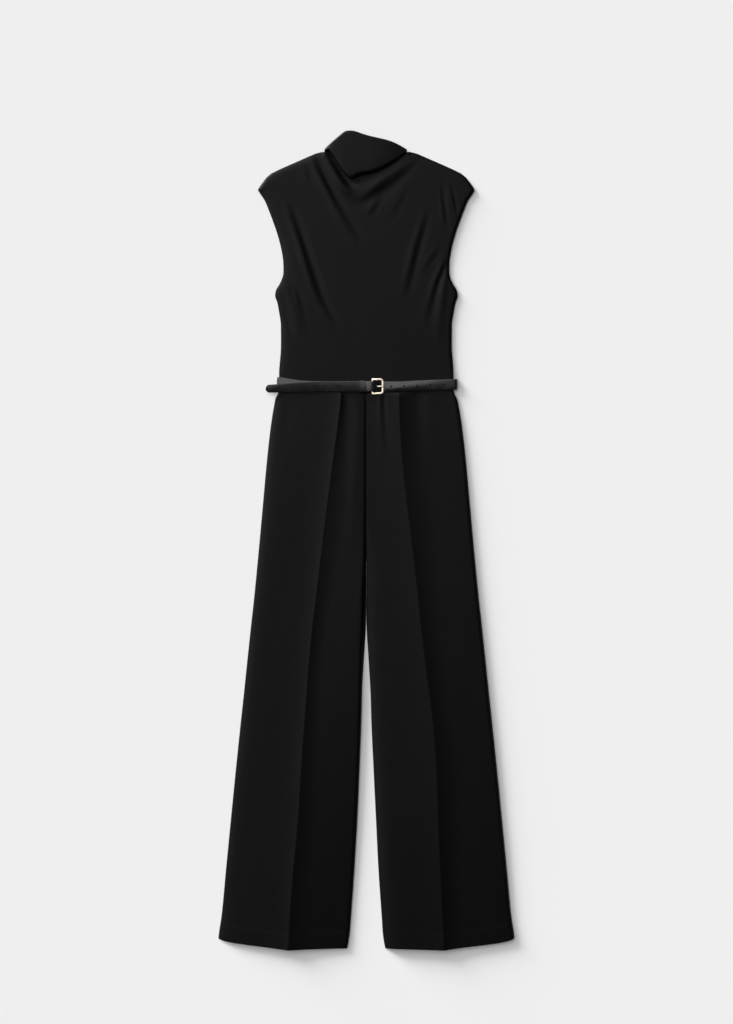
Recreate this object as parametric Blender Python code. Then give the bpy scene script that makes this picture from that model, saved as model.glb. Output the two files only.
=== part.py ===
"""A black crepe jumpsuit with a draped funnel neck and a thin belt, laid flat on its back.

x runs across the garment, y runs up it from the hems to the neck, and z is the height above the
surface that it lies on. Sizes are in millimetres, and heights along the garment are measured up
from the lowest point of the hems. add_solid() turns them into metres round the garment's middle.
"""

import bmesh
import bpy
import numpy as np

# Cloth and leather
CLOTH = 1.6
LEATHER = 1.5
SEAM_GAP = 0.3
HALF_GAP = SEAM_GAP / 2

# Heights up the garment
LENGTH = 1555.0
CROTCH = 756.0
WAIST = 1069.0
SHOULDER_TIP = 1443.0
SHOULDER_REACH = 8.0
SHOULDER_SLOPE = 0.9
HEM_LIFT_OUTER = 15.5
HEM_CORNER_ROUND = 5.5
HEM_LIFT_INNER = 2.5
HEM_FADE = 90.0

# Lift of the front panels off the back ones
LEG_LIFT = 1.2
CREASE_LIFT = 1.7
CREASE_WIDTH_OUTER = 14.0
CREASE_WIDTH_INNER = 11.0
ROOF_HOLLOW = 0.6
BODICE_LIFT = 1.9
EDGE_ROUND = 5.0
BELT_LIFT = 0.5
MOST_BODICE_LIFT = 3.7

# Belt
BELT_WIDTH = 19.5
BELT_LINE = 1069.4
BELT_BACK_SHIFT = 7.0
RISE = LEATHER + SEAM_GAP
RISE_HALF_BAND = 16.5
RISE_FADE = 22.0
BEND_LEFT = -165.2
BEND_RIGHT = 169.0
BEND_REACH = 3.4
TIP_X = -190.4
BELT_BOTTOM = RISE + 2 * CLOTH + SEAM_GAP + BELT_LIFT + SEAM_GAP
BELT_Z = BELT_BOTTOM + LEATHER / 2
HOLE_SPACING = 25.0
FIRST_HOLE_X = 47.0
HOLE_COUNT = 5
HOLE_RADIUS = 1.2
KEEPER_X = (-11.8, -0.4)
KEEPER_WALL = 1.1

# Buckle
HINGE_X = 11.6
OUTER_BAR_X = 31.8
FRAME_HALF_HEIGHT = 13.2
FRAME_CORNER = 5.0
FRAME_WIRE = 4.4
FRAME_THICK = 2.2
HINGE_WIRE = 2.2
PRONG_THICK = 2.0
PRONG_WIDTH = 2.8
RING_WALL = 1.1
SLOT_HALF_WIDTH = 1.9

# Collar
NECK_HALF = 82.0
COLLAR_SECTIONS = 27
FLAP_BULGE = 1.2
FLAP_BULGE_HEIGHT = 15.0


def table(columns, *rows):
    """A table with named columns: a dictionary of arrays."""
    return dict(zip(columns.split(), np.array(rows, float).T))


# Half of the garment's width, from the waist up to the shoulder tip.
BODICE_SIDE = table(
    "height half_width",
    (1069.0, 164.3),
    (1093.8, 165.2),
    (1139.4, 162.0),
    (1185.0, 161.9),
    (1207.8, 164.8),
    (1230.6, 169.1),
    (1242.0, 172.9),
    (1253.4, 170.8),
    (1264.8, 164.1),
    (1276.2, 159.2),
    (1287.6, 157.0),
    (1310.4, 157.8),
    (1333.2, 161.7),
    (1356.0, 167.6),
    (1378.8, 175.2),
    (1401.6, 183.7),
    (1424.4, 193.2),
    (1435.8, 201.0),
    (1443.0, 205.3),
)
# Shoulder line, from the tip to the corner of the neck.
SHOULDER = table(
    "across half_width height",
    (0.00, 205.3, 1443.0),
    (0.03, 200.5, 1451.0),
    (0.10, 189.2, 1466.2),
    (0.15, 180.0, 1473.8),
    (0.22, 164.8, 1481.4),
    (0.46, 130.6, 1496.6),
    (0.72, 95.6, 1511.8),
    (0.80, 82.0, 1515.0),
    (0.84, 76.0, 1513.0),
    (1.00, 0.0, 1494.0),
)
BACK_NECK = table(
    "across half_width height",
    (0.00, 205.3, 1443.0),
    (0.03, 200.5, 1451.0),
    (0.10, 189.2, 1466.2),
    (0.15, 180.0, 1473.8),
    (0.22, 164.8, 1481.4),
    (0.46, 130.6, 1496.6),
    (0.72, 95.6, 1511.8),
    (0.80, 82.0, 1514.5),
    (0.84, 76.0, 1512.5),
    (1.00, 0.0, 1509.0),
)
# Leg edges and crease, measured outwards from the middle of the garment, and how high the front
# stands at its crease, like a low roof.
LEG = table(
    "height outer inner_left inner_right inner_back crease_left crease_right roof",
    (0.0, 281.0, 37.0, 37.0, 37.0, 148.0, 147.5, 8.2),
    (24.0, 280.2, 33.0, 32.8, 33.0, 146.8, 146.4, 8.1),
    (64.0, 274.6, 29.6, 29.8, 29.8, 144.9, 144.2, 7.9),
    (155.0, 265.9, 23.3, 23.6, 23.6, 138.0, 140.0, 7.4),
    (246.0, 257.0, 18.0, 19.0, 18.8, 129.6, 136.0, 6.8),
    (338.0, 247.9, 14.0, 14.4, 14.4, 123.8, 133.0, 6.0),
    (429.0, 238.4, 10.4, 10.1, 10.4, 117.4, 126.6, 4.9),
    (493.0, 231.5, 8.8, 8.2, 8.0, 112.6, 118.6, 4.1),
    (550.0, 225.6, 7.4, 5.6, 4.6, 108.4, 111.4, 3.4),
    (619.0, 218.2, 5.5, 3.2, 0.6, 101.6, 103.0, 2.6),
    (664.0, 213.2, 4.4, 1.6, HALF_GAP, 96.0, 98.8, 2.1),
    (756.0, 204.2, 0.6, 0.4, HALF_GAP, 85.4, 88.0, 1.4),
    (839.0, 196.6, HALF_GAP, HALF_GAP, HALF_GAP, 75.0, 77.6, 0.9),
    (930.0, 188.3, HALF_GAP, HALF_GAP, HALF_GAP, 63.0, 66.2, 0.7),
    (999.0, 180.4, HALF_GAP, HALF_GAP, HALF_GAP, 53.6, 56.0, 0.6),
    (1030.0, 175.4, HALF_GAP, HALF_GAP, HALF_GAP, 49.6, 51.8, 0.6),
    (1048.0, 171.6, HALF_GAP, HALF_GAP, HALF_GAP, 48.0, 50.0, 0.6),
    (1058.0, 166.6, HALF_GAP, HALF_GAP, HALF_GAP, 47.2, 49.4, 0.6),
    (1068.7, 164.3, HALF_GAP, HALF_GAP, HALF_GAP, 46.9, 49.0, 0.6),
)
# Main folds of the front: a straight run from one end to the other, raised or sunk by lift.
BODICE_FOLDS = table(
    "x_from y_from x_to y_to lift width",
    (-142.0, 1396.0, -118.0, 1318.0, -1.3, 10.0),
    (-118.0, 1318.0, -58.0, 1180.0, -1.3, 10.0),
    (-150.0, 1340.0, -112.0, 1206.0, 0.7, 13.0),
    (-150.0, 1216.0, -137.0, 1162.0, -0.9, 8.0),
    (-90.0, 1487.0, -60.0, 1432.0, -1.2, 8.0),
    (-60.0, 1432.0, -14.0, 1322.0, -0.9, 9.0),
    (112.0, 1367.0, 78.0, 1254.0, -1.2, 10.0),
    (144.0, 1296.0, 121.0, 1204.0, -1.3, 8.0),
    (148.0, 1420.0, 157.0, 1374.0, -0.9, 6.0),
    (134.0, 1404.0, 142.0, 1352.0, -0.6, 6.0),
    (-10.0, 1424.0, 46.0, 1456.0, -0.9, 8.0),
    (-2.0, 1396.0, 36.0, 1416.0, -0.6, 8.0),
)
# The draped roll below the collar flap, and the deep hollow between it and the flap.
COWL_ROLL = table(
    "x y lift",
    (-86.0, 1503.0, 0.2),
    (-73.0, 1482.0, 1.2),
    (-57.0, 1461.0, 1.7),
    (-38.0, 1443.0, 1.9),
    (-17.0, 1437.0, 1.9),
    (8.0, 1452.0, 1.9),
    (36.0, 1470.0, 1.8),
    (64.0, 1489.0, 1.3),
    (80.0, 1503.0, 0.3),
)
COWL_ROLL_WIDTH = 7.5
COWL_HOLLOW = table(
    "x y lift",
    (-72.0, 1508.0, -0.8),
    (-61.0, 1491.0, -1.6),
    (-48.0, 1473.0, -1.8),
    (-32.0, 1457.0, -1.8),
    (-17.0, 1457.0, -1.8),
    (12.0, 1474.0, -1.6),
    (44.0, 1493.0, -1.4),
    (66.0, 1506.0, -0.8),
)
COWL_HOLLOW_WIDTH = 8.0
LEG_FOLDS_LEFT = table(
    "x_from y_from x_to y_to lift width",
    (-38.5, 1069.0, -40.0, 1000.0, -0.8, 6.0),
)
LEG_FOLDS_RIGHT = table(
    "x_from y_from x_to y_to lift width",
    (77.0, 1069.0, 73.0, 985.0, -1.0, 9.0),
    (30.0, 1069.0, 34.0, 900.0, -0.7, 4.5),
)
# Collar: the top fold, the flap's lower edge, and their heights above the surface.
COLLAR = table(
    "x top low crest edge turn",
    (-79.0, 1519.6, 1513.0, 6.2, 6.0, 2.0),
    (-72.0, 1527.0, 1508.6, 7.6, 7.0, 2.8),
    (-58.9, 1538.4, 1497.5, 10.6, 9.6, 4.0),
    (-50.0, 1546.0, 1489.0, 12.6, 11.2, 4.8),
    (-40.3, 1553.4, 1480.0, 14.8, 13.2, 5.2),
    (-30.8, 1555.0, 1471.4, 16.0, 13.8, 5.4),
    (-23.0, 1554.2, 1468.0, 16.2, 14.0, 5.4),
    (-9.7, 1549.8, 1475.6, 15.8, 13.8, 5.2),
    (8.0, 1544.6, 1483.6, 14.6, 13.2, 4.8),
    (26.0, 1540.6, 1491.6, 13.0, 12.0, 4.4),
    (45.0, 1535.6, 1500.0, 10.8, 9.8, 4.0),
    (60.0, 1529.6, 1506.4, 8.8, 8.0, 3.2),
    (77.0, 1519.8, 1512.4, 6.2, 6.1, 2.2),
)


def curve(data, key, column, at):
    """A smooth curve through one column of a table, read against another."""
    xs = data[key]
    ys = data[column]
    at = np.clip(np.asarray(at, float), xs.min(), xs.max())
    chords = np.diff(ys) / np.diff(xs)
    slopes = np.concatenate([chords[:1], (chords[1:] + chords[:-1]) / 2, chords[-1:]])
    turns = np.concatenate([[False], chords[1:] * chords[:-1] <= 0, [False]])
    slopes[turns] = 0
    i = np.clip(np.searchsorted(xs, at) - 1, 0, len(xs) - 2)
    width = xs[i + 1] - xs[i]
    t = (at - xs[i]) / width
    rise = ys[i + 1] - ys[i]
    lean = slopes[i] * width
    exit_lean = slopes[i + 1] * width
    return ys[i] + t * (lean + t * (3 * rise - 2 * lean - exit_lean + t * (lean + exit_lean - 2 * rise)))


def fade(x, start, end):
    """0 at start, 1 at end, with a level tangent at both."""
    t = np.clip((x - start) / (end - start), 0, 1)
    return t * t * (3 - 2 * t)


def run_distance(x, y, x0, y0, x1, y1):
    """Distance to a straight run, and the share along it of the nearest point."""
    dx, dy = x1 - x0, y1 - y0
    share = np.clip(((x - x0) * dx + (y - y0) * dy) / (dx * dx + dy * dy), 0, 1)
    return np.hypot(x - x0 - share * dx, y - y0 - share * dy), share


def folds_lift(data, x, y):
    """Sum of the table's folds, each fading towards its two ends."""
    total = np.zeros(np.shape(x))
    for x0, y0, x1, y1, lift, width in zip(*data.values()):
        distance, share = run_distance(x, y, x0, y0, x1, y1)
        ends = 0.45 + 0.55 * np.sin(np.pi * share)
        total = total + lift * ends * np.exp(-((distance / width) ** 2))
    return total


def roll_lift(data, width, x, y):
    """A raised or sunk line through the table's points, with its lift changing along it."""
    best = np.full(np.shape(x), 1e9)
    lift = np.zeros(np.shape(x))
    for i in range(len(data["x"]) - 1):
        ends = data["x"][i], data["y"][i], data["x"][i + 1], data["y"][i + 1]
        distance, share = run_distance(x, y, *ends)
        here = data["lift"][i] * (1 - share) + data["lift"][i + 1] * share
        lift = np.where(distance < best, here, lift)
        best = np.minimum(best, distance)
    return lift * np.exp(-((best / width) ** 2))


def belt_band(y):
    """1 under the belt, 0 well clear of it."""
    away = np.abs(y - BELT_LINE - BELT_BACK_SHIFT / 2)
    return 1 - fade(away, RISE_HALF_BAND, RISE_HALF_BAND + RISE_FADE)


def back_under(y):
    """Underside of the back panels: level, but for the rise over the belt behind them."""
    return RISE * belt_band(y)


def front_under(lift, y):
    """Underside of the front panels."""
    band = belt_band(y)
    held = np.minimum(lift, BELT_LIFT) * band + lift * (1 - band)
    return back_under(y) + CLOTH + SEAM_GAP + np.maximum(held, 0)


def material(name, colour, roughness, metallic=0.0):
    """A plain Principled material."""
    made = bpy.data.materials.new(name)
    made.use_nodes = True
    shader = made.node_tree.nodes["Principled BSDF"]
    shader.inputs["Base Color"].default_value = (*colour, 1)
    shader.inputs["Roughness"].default_value = roughness
    shader.inputs["Metallic"].default_value = metallic
    return made


def add_solid(name, points, faces, surface):
    """One object from points in millimetres, in metres round the garment's middle."""
    points = (np.asarray(points, float) - (0, LENGTH / 2, 0)) * 0.001
    mesh = bpy.data.meshes.new(name)
    mesh.from_pydata(points.tolist(), [], faces)
    shape = bmesh.new()
    shape.from_mesh(mesh)
    bmesh.ops.recalc_face_normals(shape, faces=shape.faces)
    shape.to_mesh(mesh)
    shape.free()
    if surface:
        mesh.materials.append(surface)
    mesh.shade_smooth()
    mesh.set_sharp_from_angle(angle=np.radians(40))
    obj = bpy.data.objects.new(name, mesh)
    bpy.context.scene.collection.objects.link(obj)
    return obj


def wall_solid(name, lower, upper, surface):
    """A closed wall between two grids of points, rows by columns, with its edges closed."""
    rows, columns = lower.shape[:2]
    count = rows * columns
    index = np.arange(count).reshape(rows, columns)
    a, b = index[:-1, :-1].ravel(), index[:-1, 1:].ravel()
    c, d = index[1:, 1:].ravel(), index[1:, :-1].ravel()
    faces = np.stack([d, c, b, a], -1).tolist()
    faces += (np.stack([a, b, c, d], -1) + count).tolist()
    rim = np.concatenate([index[0, :-1], index[:-1, -1], index[-1, :0:-1], index[:0:-1, 0]])
    for first, second in zip(rim.tolist(), np.roll(rim, -1).tolist()):
        faces.append((first, second, second + count, first + count))
    points = np.concatenate([lower.reshape(-1, 3), upper.reshape(-1, 3)])
    return add_solid(name, points, faces, surface)


def sheet_solid(name, x, y, under, surface):
    """A closed sheet of cloth over a grid of rows and columns, from its underside up."""
    lower = np.stack([x, y, under], -1)
    return wall_solid(name, lower, lower + (0, 0, CLOTH), surface)


def sweep(name, rings, surface, closed=False):
    """A tube through rings of points, capped at both ends unless it is closed on itself."""
    rings = np.asarray(rings, float)
    count, sides = rings.shape[:2]
    faces = []
    for i in range(count if closed else count - 1):
        j = (i + 1) % count
        for k in range(sides):
            n = (k + 1) % sides
            faces.append((i * sides + k, i * sides + n, j * sides + n, j * sides + k))
    if not closed:
        faces.append(tuple(range(sides))[::-1])
        faces.append(tuple(range((count - 1) * sides, count * sides)))
    return add_solid(name, rings.reshape(-1, 3), faces, surface)


def box(name, low, high):
    """A plain box, used to cut a slot."""
    corners = [(x, y, z) for z in (low[2], high[2]) for y in (low[1], high[1]) for x in (low[0], high[0])]
    faces = [(0, 2, 3, 1), (4, 5, 7, 6), (0, 1, 5, 4), (1, 3, 7, 5), (3, 2, 6, 7), (2, 0, 4, 6)]
    return add_solid(name, corners, faces, None)


def rounded_section(half_width, half_thick, round_off):
    """Eight points of a flat bar's section with its corners taken off, as (across, through)."""
    w, t, r = half_width, half_thick, round_off
    return np.array([
        (-w + r, -t), (w - r, -t), (w, -t + r), (w, t - r),
        (w - r, t), (-w + r, t), (-w, t - r), (-w, -t + r),
    ])


def arc(centre, reach, start, end, count):
    """Points along an ellipse's arc between two angles in degrees."""
    angles = np.radians(np.linspace(start, end, count))
    return [(centre[0] + reach[0] * np.cos(a), centre[1] + reach[1] * np.sin(a)) for a in angles]


def ring_path(low, high, corners, steps):
    """A closed rectangle with rounded corners, anticlockwise from the lower left one."""
    (x0, y0), (x1, y1) = low, high
    middles = ((x0, y0, 1, 1, 180), (x1, y0, -1, 1, 270), (x1, y1, -1, -1, 0), (x0, y1, 1, -1, 90))
    path = []
    for (x, y, sx, sy, start), r in zip(middles, corners):
        path += arc((x + sx * r, y + sy * r), (r, r), start, start + 90, steps)
    return np.array(path)


def normals_of(path, closed=False):
    """Unit tangents and left-hand normals of a flat path."""
    if closed:
        ahead = np.roll(path, -1, axis=0) - np.roll(path, 1, axis=0)
    else:
        ahead = np.gradient(path, axis=0)
    ahead = ahead / np.linalg.norm(ahead, axis=1, keepdims=True)
    return ahead, np.stack([-ahead[:, 1], ahead[:, 0]], -1)


# Bodice -------------------------------------------------------------------------------------

FRONT_COLUMNS = (0, 0.012, 0.03, 0.06, 0.1, 0.15, 0.22, 0.3, 0.38, 0.46, 0.54, 0.6, 0.66, 0.72,
                 0.76, 0.8, 0.84, 0.88, 0.92, 0.96, 1)
BACK_COLUMNS = (0, 0.03, 0.1, 0.15, 0.22, 0.46, 0.72, 0.8, 0.84, 1)
BELT_ROWS = (0, 8, 14, 20.5, 26, 32, 40)
FRONT_ROWS = 30
BACK_ROWS = 20


def bodice_grid(top, columns, rows):
    """Half of the bodice as a grid: from the side to the middle, and from the waist to the top."""
    across = np.array(columns)[None, :]
    height = SHOULDER_TIP - WAIST - HALF_GAP
    above_belt = np.linspace(BELT_ROWS[-1], height, rows + 1)[1:]
    up = (np.concatenate([BELT_ROWS, above_belt]) / height)[:, None]
    side_y = WAIST + HALF_GAP + up * height
    side_x = curve(BODICE_SIDE, "height", "half_width", side_y)
    top_x = np.interp(across, top["across"], top["half_width"])
    top_y = np.interp(across, top["across"], top["height"])
    waist_x, waist_y = BODICE_SIDE["half_width"][0], WAIST + HALF_GAP
    tip_x, tip_y = top["half_width"][0], top["height"][0]
    middle_y = waist_y + up * (top["height"][-1] - waist_y)
    x = (1 - across) * side_x + (1 - up) * (1 - across) * waist_x + up * top_x
    x = x - (1 - across) * ((1 - up) * waist_x + up * tip_x)
    y = (1 - across) * side_y + across * middle_y + (1 - up) * waist_y + up * top_y
    y = y - (1 - across) * ((1 - up) * waist_y + up * tip_y)
    y = y - across * ((1 - up) * waist_y + up * top["height"][-1])
    return x, y


def bodice_edge_room(x, y):
    """Distance from the nearest side, armhole or shoulder edge."""
    side = curve(BODICE_SIDE, "height", "half_width", y) - np.abs(x)
    side = np.where(y > SHOULDER_TIP - SHOULDER_REACH, np.inf, side)
    outer = SHOULDER["half_width"][::-1]
    line = np.interp(np.abs(x), outer, SHOULDER["height"][::-1])
    shoulder = np.where(np.abs(x) > NECK_HALF, (line - y) * SHOULDER_SLOPE, np.inf)
    return np.maximum(np.minimum(side, shoulder), 0)


def bodice_lift(x, y):
    """How far the front bodice stands off the back."""
    room = bodice_edge_room(x, y)
    held = 1 - np.exp(-room / EDGE_ROUND)
    folds = folds_lift(BODICE_FOLDS, x, y)
    cowl = roll_lift(COWL_ROLL, COWL_ROLL_WIDTH, x, y)
    hollow = roll_lift(COWL_HOLLOW, COWL_HOLLOW_WIDTH, x, y)
    return np.minimum((BODICE_LIFT + folds + cowl + hollow) * held, MOST_BODICE_LIFT)


def make_bodice(crepe):
    """One front and two backs, from the waist seam to the shoulders."""
    x, y = bodice_grid(SHOULDER, FRONT_COLUMNS, FRONT_ROWS)
    x = np.concatenate([-x, x[:, -2::-1]], axis=1)
    y = np.concatenate([y, y[:, -2::-1]], axis=1)
    sheet_solid("bodice_front", x, y, front_under(bodice_lift(x, y), y), crepe)
    x, y = bodice_grid(BACK_NECK, BACK_COLUMNS, BACK_ROWS)
    x = np.maximum(x, HALF_GAP)
    sheet_solid("bodice_back_left", -x, y, back_under(y), crepe)
    sheet_solid("bodice_back_right", x[:, ::-1], y[:, ::-1], back_under(y[:, ::-1]), crepe)


# Collar -------------------------------------------------------------------------------------


def collar_section(x):
    """Middle line of the collar cut across at x: back stand, top fold and flap, as (y, z)."""
    top, low, crest, edge, turn = (float(curve(COLLAR, "x", name, x)) for name in list(COLLAR)[1:])
    outer = BACK_NECK["half_width"][::-1]
    seam = float(np.interp(abs(x), outer, BACK_NECK["height"][::-1])) + SEAM_GAP
    level = CLOTH / 2
    fold_y = top - CLOTH / 2 - turn
    middle = (crest + level) / 2
    stand = [(seam + (fold_y - seam) * share, level) for share in (0, 0.5)]
    fold = arc((fold_y, middle), (turn, middle - level), -90, 90, 9)
    shares = np.array((0.08, 0.2, 0.36, 0.52, 0.68, 0.82, 0.93, 1))
    bulge = FLAP_BULGE * (crest - level) / FLAP_BULGE_HEIGHT
    drop = crest + (edge - crest) * shares + bulge * np.sin(np.pi * shares)
    flap = list(zip(fold_y + (low - fold_y) * shares, drop))
    return np.array(stand + fold + flap)


def make_collar(crepe):
    """The funnel collar, folded over at the top with its flap turned down on the front."""
    inner, outer = [], []
    for x in np.linspace(COLLAR["x"][0], COLLAR["x"][-1], COLLAR_SECTIONS):
        path = collar_section(x)
        left = normals_of(path)[1]
        for side, grid in ((1, inner), (-1, outer)):
            points = path + left * side * CLOTH / 2
            grid.append([(x, y, max(z, 0)) for y, z in points])
    wall_solid("funnel_collar", np.array(inner), np.array(outer), crepe)


# Legs ---------------------------------------------------------------------------------------

EXTRA_LEG_ROWS = (110, 200, 292, 384, 461, 521, 585, 710, 800, 885, 965, 1015, 1039, 1053, 1063)
SEAM_HOLD = 0.35
SEAM_OPENS = 60.0
NEAR_EDGE = (0, 2.5, 7.0)
NEAR_CREASE = (28.0, 14.0, 6.0)
NEAR_CREASE_SHARES = (0.45, 0.25, 0.12)
BACK_LEG_STEP = 2


def leg_positions(inner, crease, outer):
    """Positions across a leg, closer together at its two edges and at the crease."""
    def from_edge(room):
        near_edge = np.broadcast_to(NEAR_EDGE, (len(room), 3))
        near_crease = room - np.minimum(NEAR_CREASE, room * NEAR_CREASE_SHARES)
        start, stop = near_edge[:, 2:], near_crease[:, :1]
        between = start + (stop - start) * (1 / 3, 2 / 3)
        return np.concatenate([near_edge, between, near_crease], axis=1)

    inner, crease, outer = (np.reshape(value, (-1, 1)) for value in (inner, crease, outer))
    inside = inner + from_edge(crease - inner)
    outside = outer - from_edge(outer - crease)
    return np.concatenate([inside, crease, outside[:, ::-1]], axis=1)


def leg_grid(inner_column, crease_column):
    """A leg as a grid, rows from the hem to the waist and columns outwards, with x as a distance."""
    def edges(height):
        return [curve(LEG, "height", name, height) for name in (inner_column, crease_column, "outer")]

    heights = np.sort(np.concatenate([LEG["height"], EXTRA_LEG_ROWS]))
    inner, crease, outer = edges(heights[:1])
    first = leg_positions(inner, crease, outer)[0]
    out_share = np.clip((first - crease) / (outer - crease), 0, 1)
    in_share = np.clip((crease - first) / (crease - inner), 0, 1)
    hem = HEM_LIFT_OUTER * out_share + HEM_CORNER_ROUND * out_share**10 + HEM_LIFT_INNER * in_share
    y = heights[:, None] + hem * (1 - fade(heights[:, None], 0, HEM_FADE))
    x = np.stack([leg_positions(*edges(y[:, k]))[:, k] for k in range(y.shape[1])], axis=1)
    return x, y


def leg_lift(x, y, side, folds):
    """How far a front leg stands off the back one: round edges, a pressed crease and folds."""
    away = np.abs(x)
    inner = curve(LEG, "height", "inner_" + side, y)
    crease = curve(LEG, "height", "crease_" + side, y)
    outer = curve(LEG, "height", "outer", y)
    open_leg = SEAM_HOLD + (1 - SEAM_HOLD) * fade(y, CROTCH + SEAM_OPENS, CROTCH - SEAM_OPENS)
    sides = 1 - np.exp(-np.maximum(outer - away, 0) / EDGE_ROUND)
    sides = sides * (1 - open_leg * np.exp(-np.maximum(away - inner, 0) / EDGE_ROUND))
    width = np.where(away > crease, CREASE_WIDTH_OUTER, CREASE_WIDTH_INNER)
    ridge = np.exp(-np.abs(away - crease) / width)
    up_outside = np.clip((outer - away) / (outer - crease), 0, 1)
    up_inside = np.clip((away - inner) / (crease - inner), 0, 1)
    outside = ROOF_HOLLOW * up_outside**3 + (1 - ROOF_HOLLOW) * up_outside
    inside = (fade(up_inside, 0, 1) + up_inside) / 2
    roof = curve(LEG, "height", "roof", y) * np.where(away > crease, outside, inside)
    return (LEG_LIFT + roof + CREASE_LIFT * ridge + folds_lift(folds, x, y)) * sides


def make_legs(crepe):
    """Two front legs over two back legs."""
    for side, sign, folds in (("left", -1, LEG_FOLDS_LEFT), ("right", 1, LEG_FOLDS_RIGHT)):
        order = slice(None, None, sign)
        x, y = leg_grid("inner_" + side, "crease_" + side)
        x, y = sign * x[:, order], y[:, order]
        sheet_solid("leg_front_" + side, x, y, front_under(leg_lift(x, y, side, folds), y), crepe)
        x, y = leg_grid("inner_back", "crease_" + side)
        x, y = sign * x[:, ::BACK_LEG_STEP][:, order], y[:, ::BACK_LEG_STEP][:, order]
        sheet_solid("leg_back_" + side, x, y, back_under(y), crepe)


# Belt ---------------------------------------------------------------------------------------

LAYER = LEATHER + SEAM_GAP
FREE_Z = BELT_Z + LAYER
KEEPER_Z = BELT_Z + KEEPER_WALL + SEAM_GAP
HINGE_Z = BELT_Z + LEATHER / 2 + SEAM_GAP + HINGE_WIRE / 2
WRAP_REACH = HINGE_WIRE / 2 + SEAM_GAP + LEATHER / 2
WRAP_TOP = HINGE_Z + WRAP_REACH
BACK_Z = LEATHER / 2
BEND_Z = (BELT_Z + BACK_Z) / 2
STRAP_RISE_X = (28.0, 14.2)
SLOT_X = (8.4, 14.95, 24.4)


def belt_route():
    """Middle line of the strap as (x, z) in three stretches: free end, back run and fixed end."""
    bend = BEND_REACH, BELT_Z - BEND_Z
    free = [(TIP_X, FREE_Z - 1.4), (-189.4, FREE_Z - 1.35), (-187.2, FREE_Z - 1.2), (-183.0, FREE_Z - 1)]
    free += [(-176.0, FREE_Z - 0.6), (-165.0, FREE_Z), (-120.0, FREE_Z), (-80.0, FREE_Z)]
    free += [(-24.0, FREE_Z), (-13.0, KEEPER_Z + LAYER), (0.6, KEEPER_Z + LAYER)]
    free += [(8.6, WRAP_TOP + LAYER), (STRAP_RISE_X[1], WRAP_TOP + LAYER), (STRAP_RISE_X[0], BELT_Z)]
    free += [(38.0, BELT_Z), (70.0, BELT_Z), (110.0, BELT_Z), (150.0, BELT_Z)]
    free += arc((BEND_RIGHT, BEND_Z), bend, 90, 22.5, 4)
    back = arc((BEND_RIGHT, BEND_Z), bend, 0, -90, 5)
    back += [(120.0, BACK_Z), (60.0, BACK_Z), (0.0, BACK_Z), (-60.0, BACK_Z), (-120.0, BACK_Z)]
    back += arc((BEND_LEFT, BEND_Z), bend, 270, 202.5, 4)
    fixed = arc((BEND_LEFT, BEND_Z), bend, 180, 90, 5)
    fixed += [(-140.0, BELT_Z), (-120.0, BELT_Z), (-80.0, BELT_Z), (-24.0, BELT_Z)]
    fixed += [(-13.0, KEEPER_Z), (0.6, KEEPER_Z)]
    fixed += arc((HINGE_X, HINGE_Z), (WRAP_REACH, WRAP_REACH), 100, -90, 9)
    fixed += [(7.0, BELT_Z), (4.6, BELT_Z)]
    return free, back, fixed


# How the strap lies up or down the garment from the belt line, and its width, by stretch.
FREE_END = table(
    "x shift width",
    (-190.4, -4.0, 4.0),
    (-189.4, -4.0, 9.5),
    (-187.2, -4.0, 12.8),
    (-183.0, -3.9, 14.8),
    (-176.0, -3.8, 15.3),
    (-163.0, -3.4, 15.9),
    (-120.0, -0.5, 18.6),
    (-90.0, 0.0, 19.5),
    (60.0, 0.0, 19.5),
    (169.0, 4.6, 19.0),
    (175.0, 4.6, 19.0),
)
FIXED_END = table(
    "x shift width",
    (-170.0, 9.0, 19.5),
    (-165.0, 9.0, 19.5),
    (-118.0, 0.5, 19.5),
    (-90.0, 0.0, 19.5),
    (40.0, 0.0, 19.5),
)
BACK_RUN = table(
    "x shift width",
    (-170.0, 9.0, 19.5),
    (175.0, 4.6, 19.0),
)


def belt_stations():
    """The route with its corners cut once, and the strap's shift and width at each point."""
    free, back, fixed = belt_route()
    route = np.array(free + back + fixed)
    tables = [FREE_END] * len(free) + [BACK_RUN] * len(back) + [FIXED_END] * len(fixed)
    path, shift, width = [route[0]], [FREE_END["shift"][0]], [FREE_END["width"][0]]
    for start, end, data in zip(route[:-1], route[1:], tables):
        for share in (0.25, 0.75):
            point = start * (1 - share) + end * share
            path.append(point)
            shift.append(np.interp(point[0], data["x"], data["shift"]))
            width.append(np.interp(point[0], data["x"], data["width"]))
    path.append(route[-1])
    shift.append(0.0)
    width.append(BELT_WIDTH)
    return np.array(path), np.array(shift), np.array(width)


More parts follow.
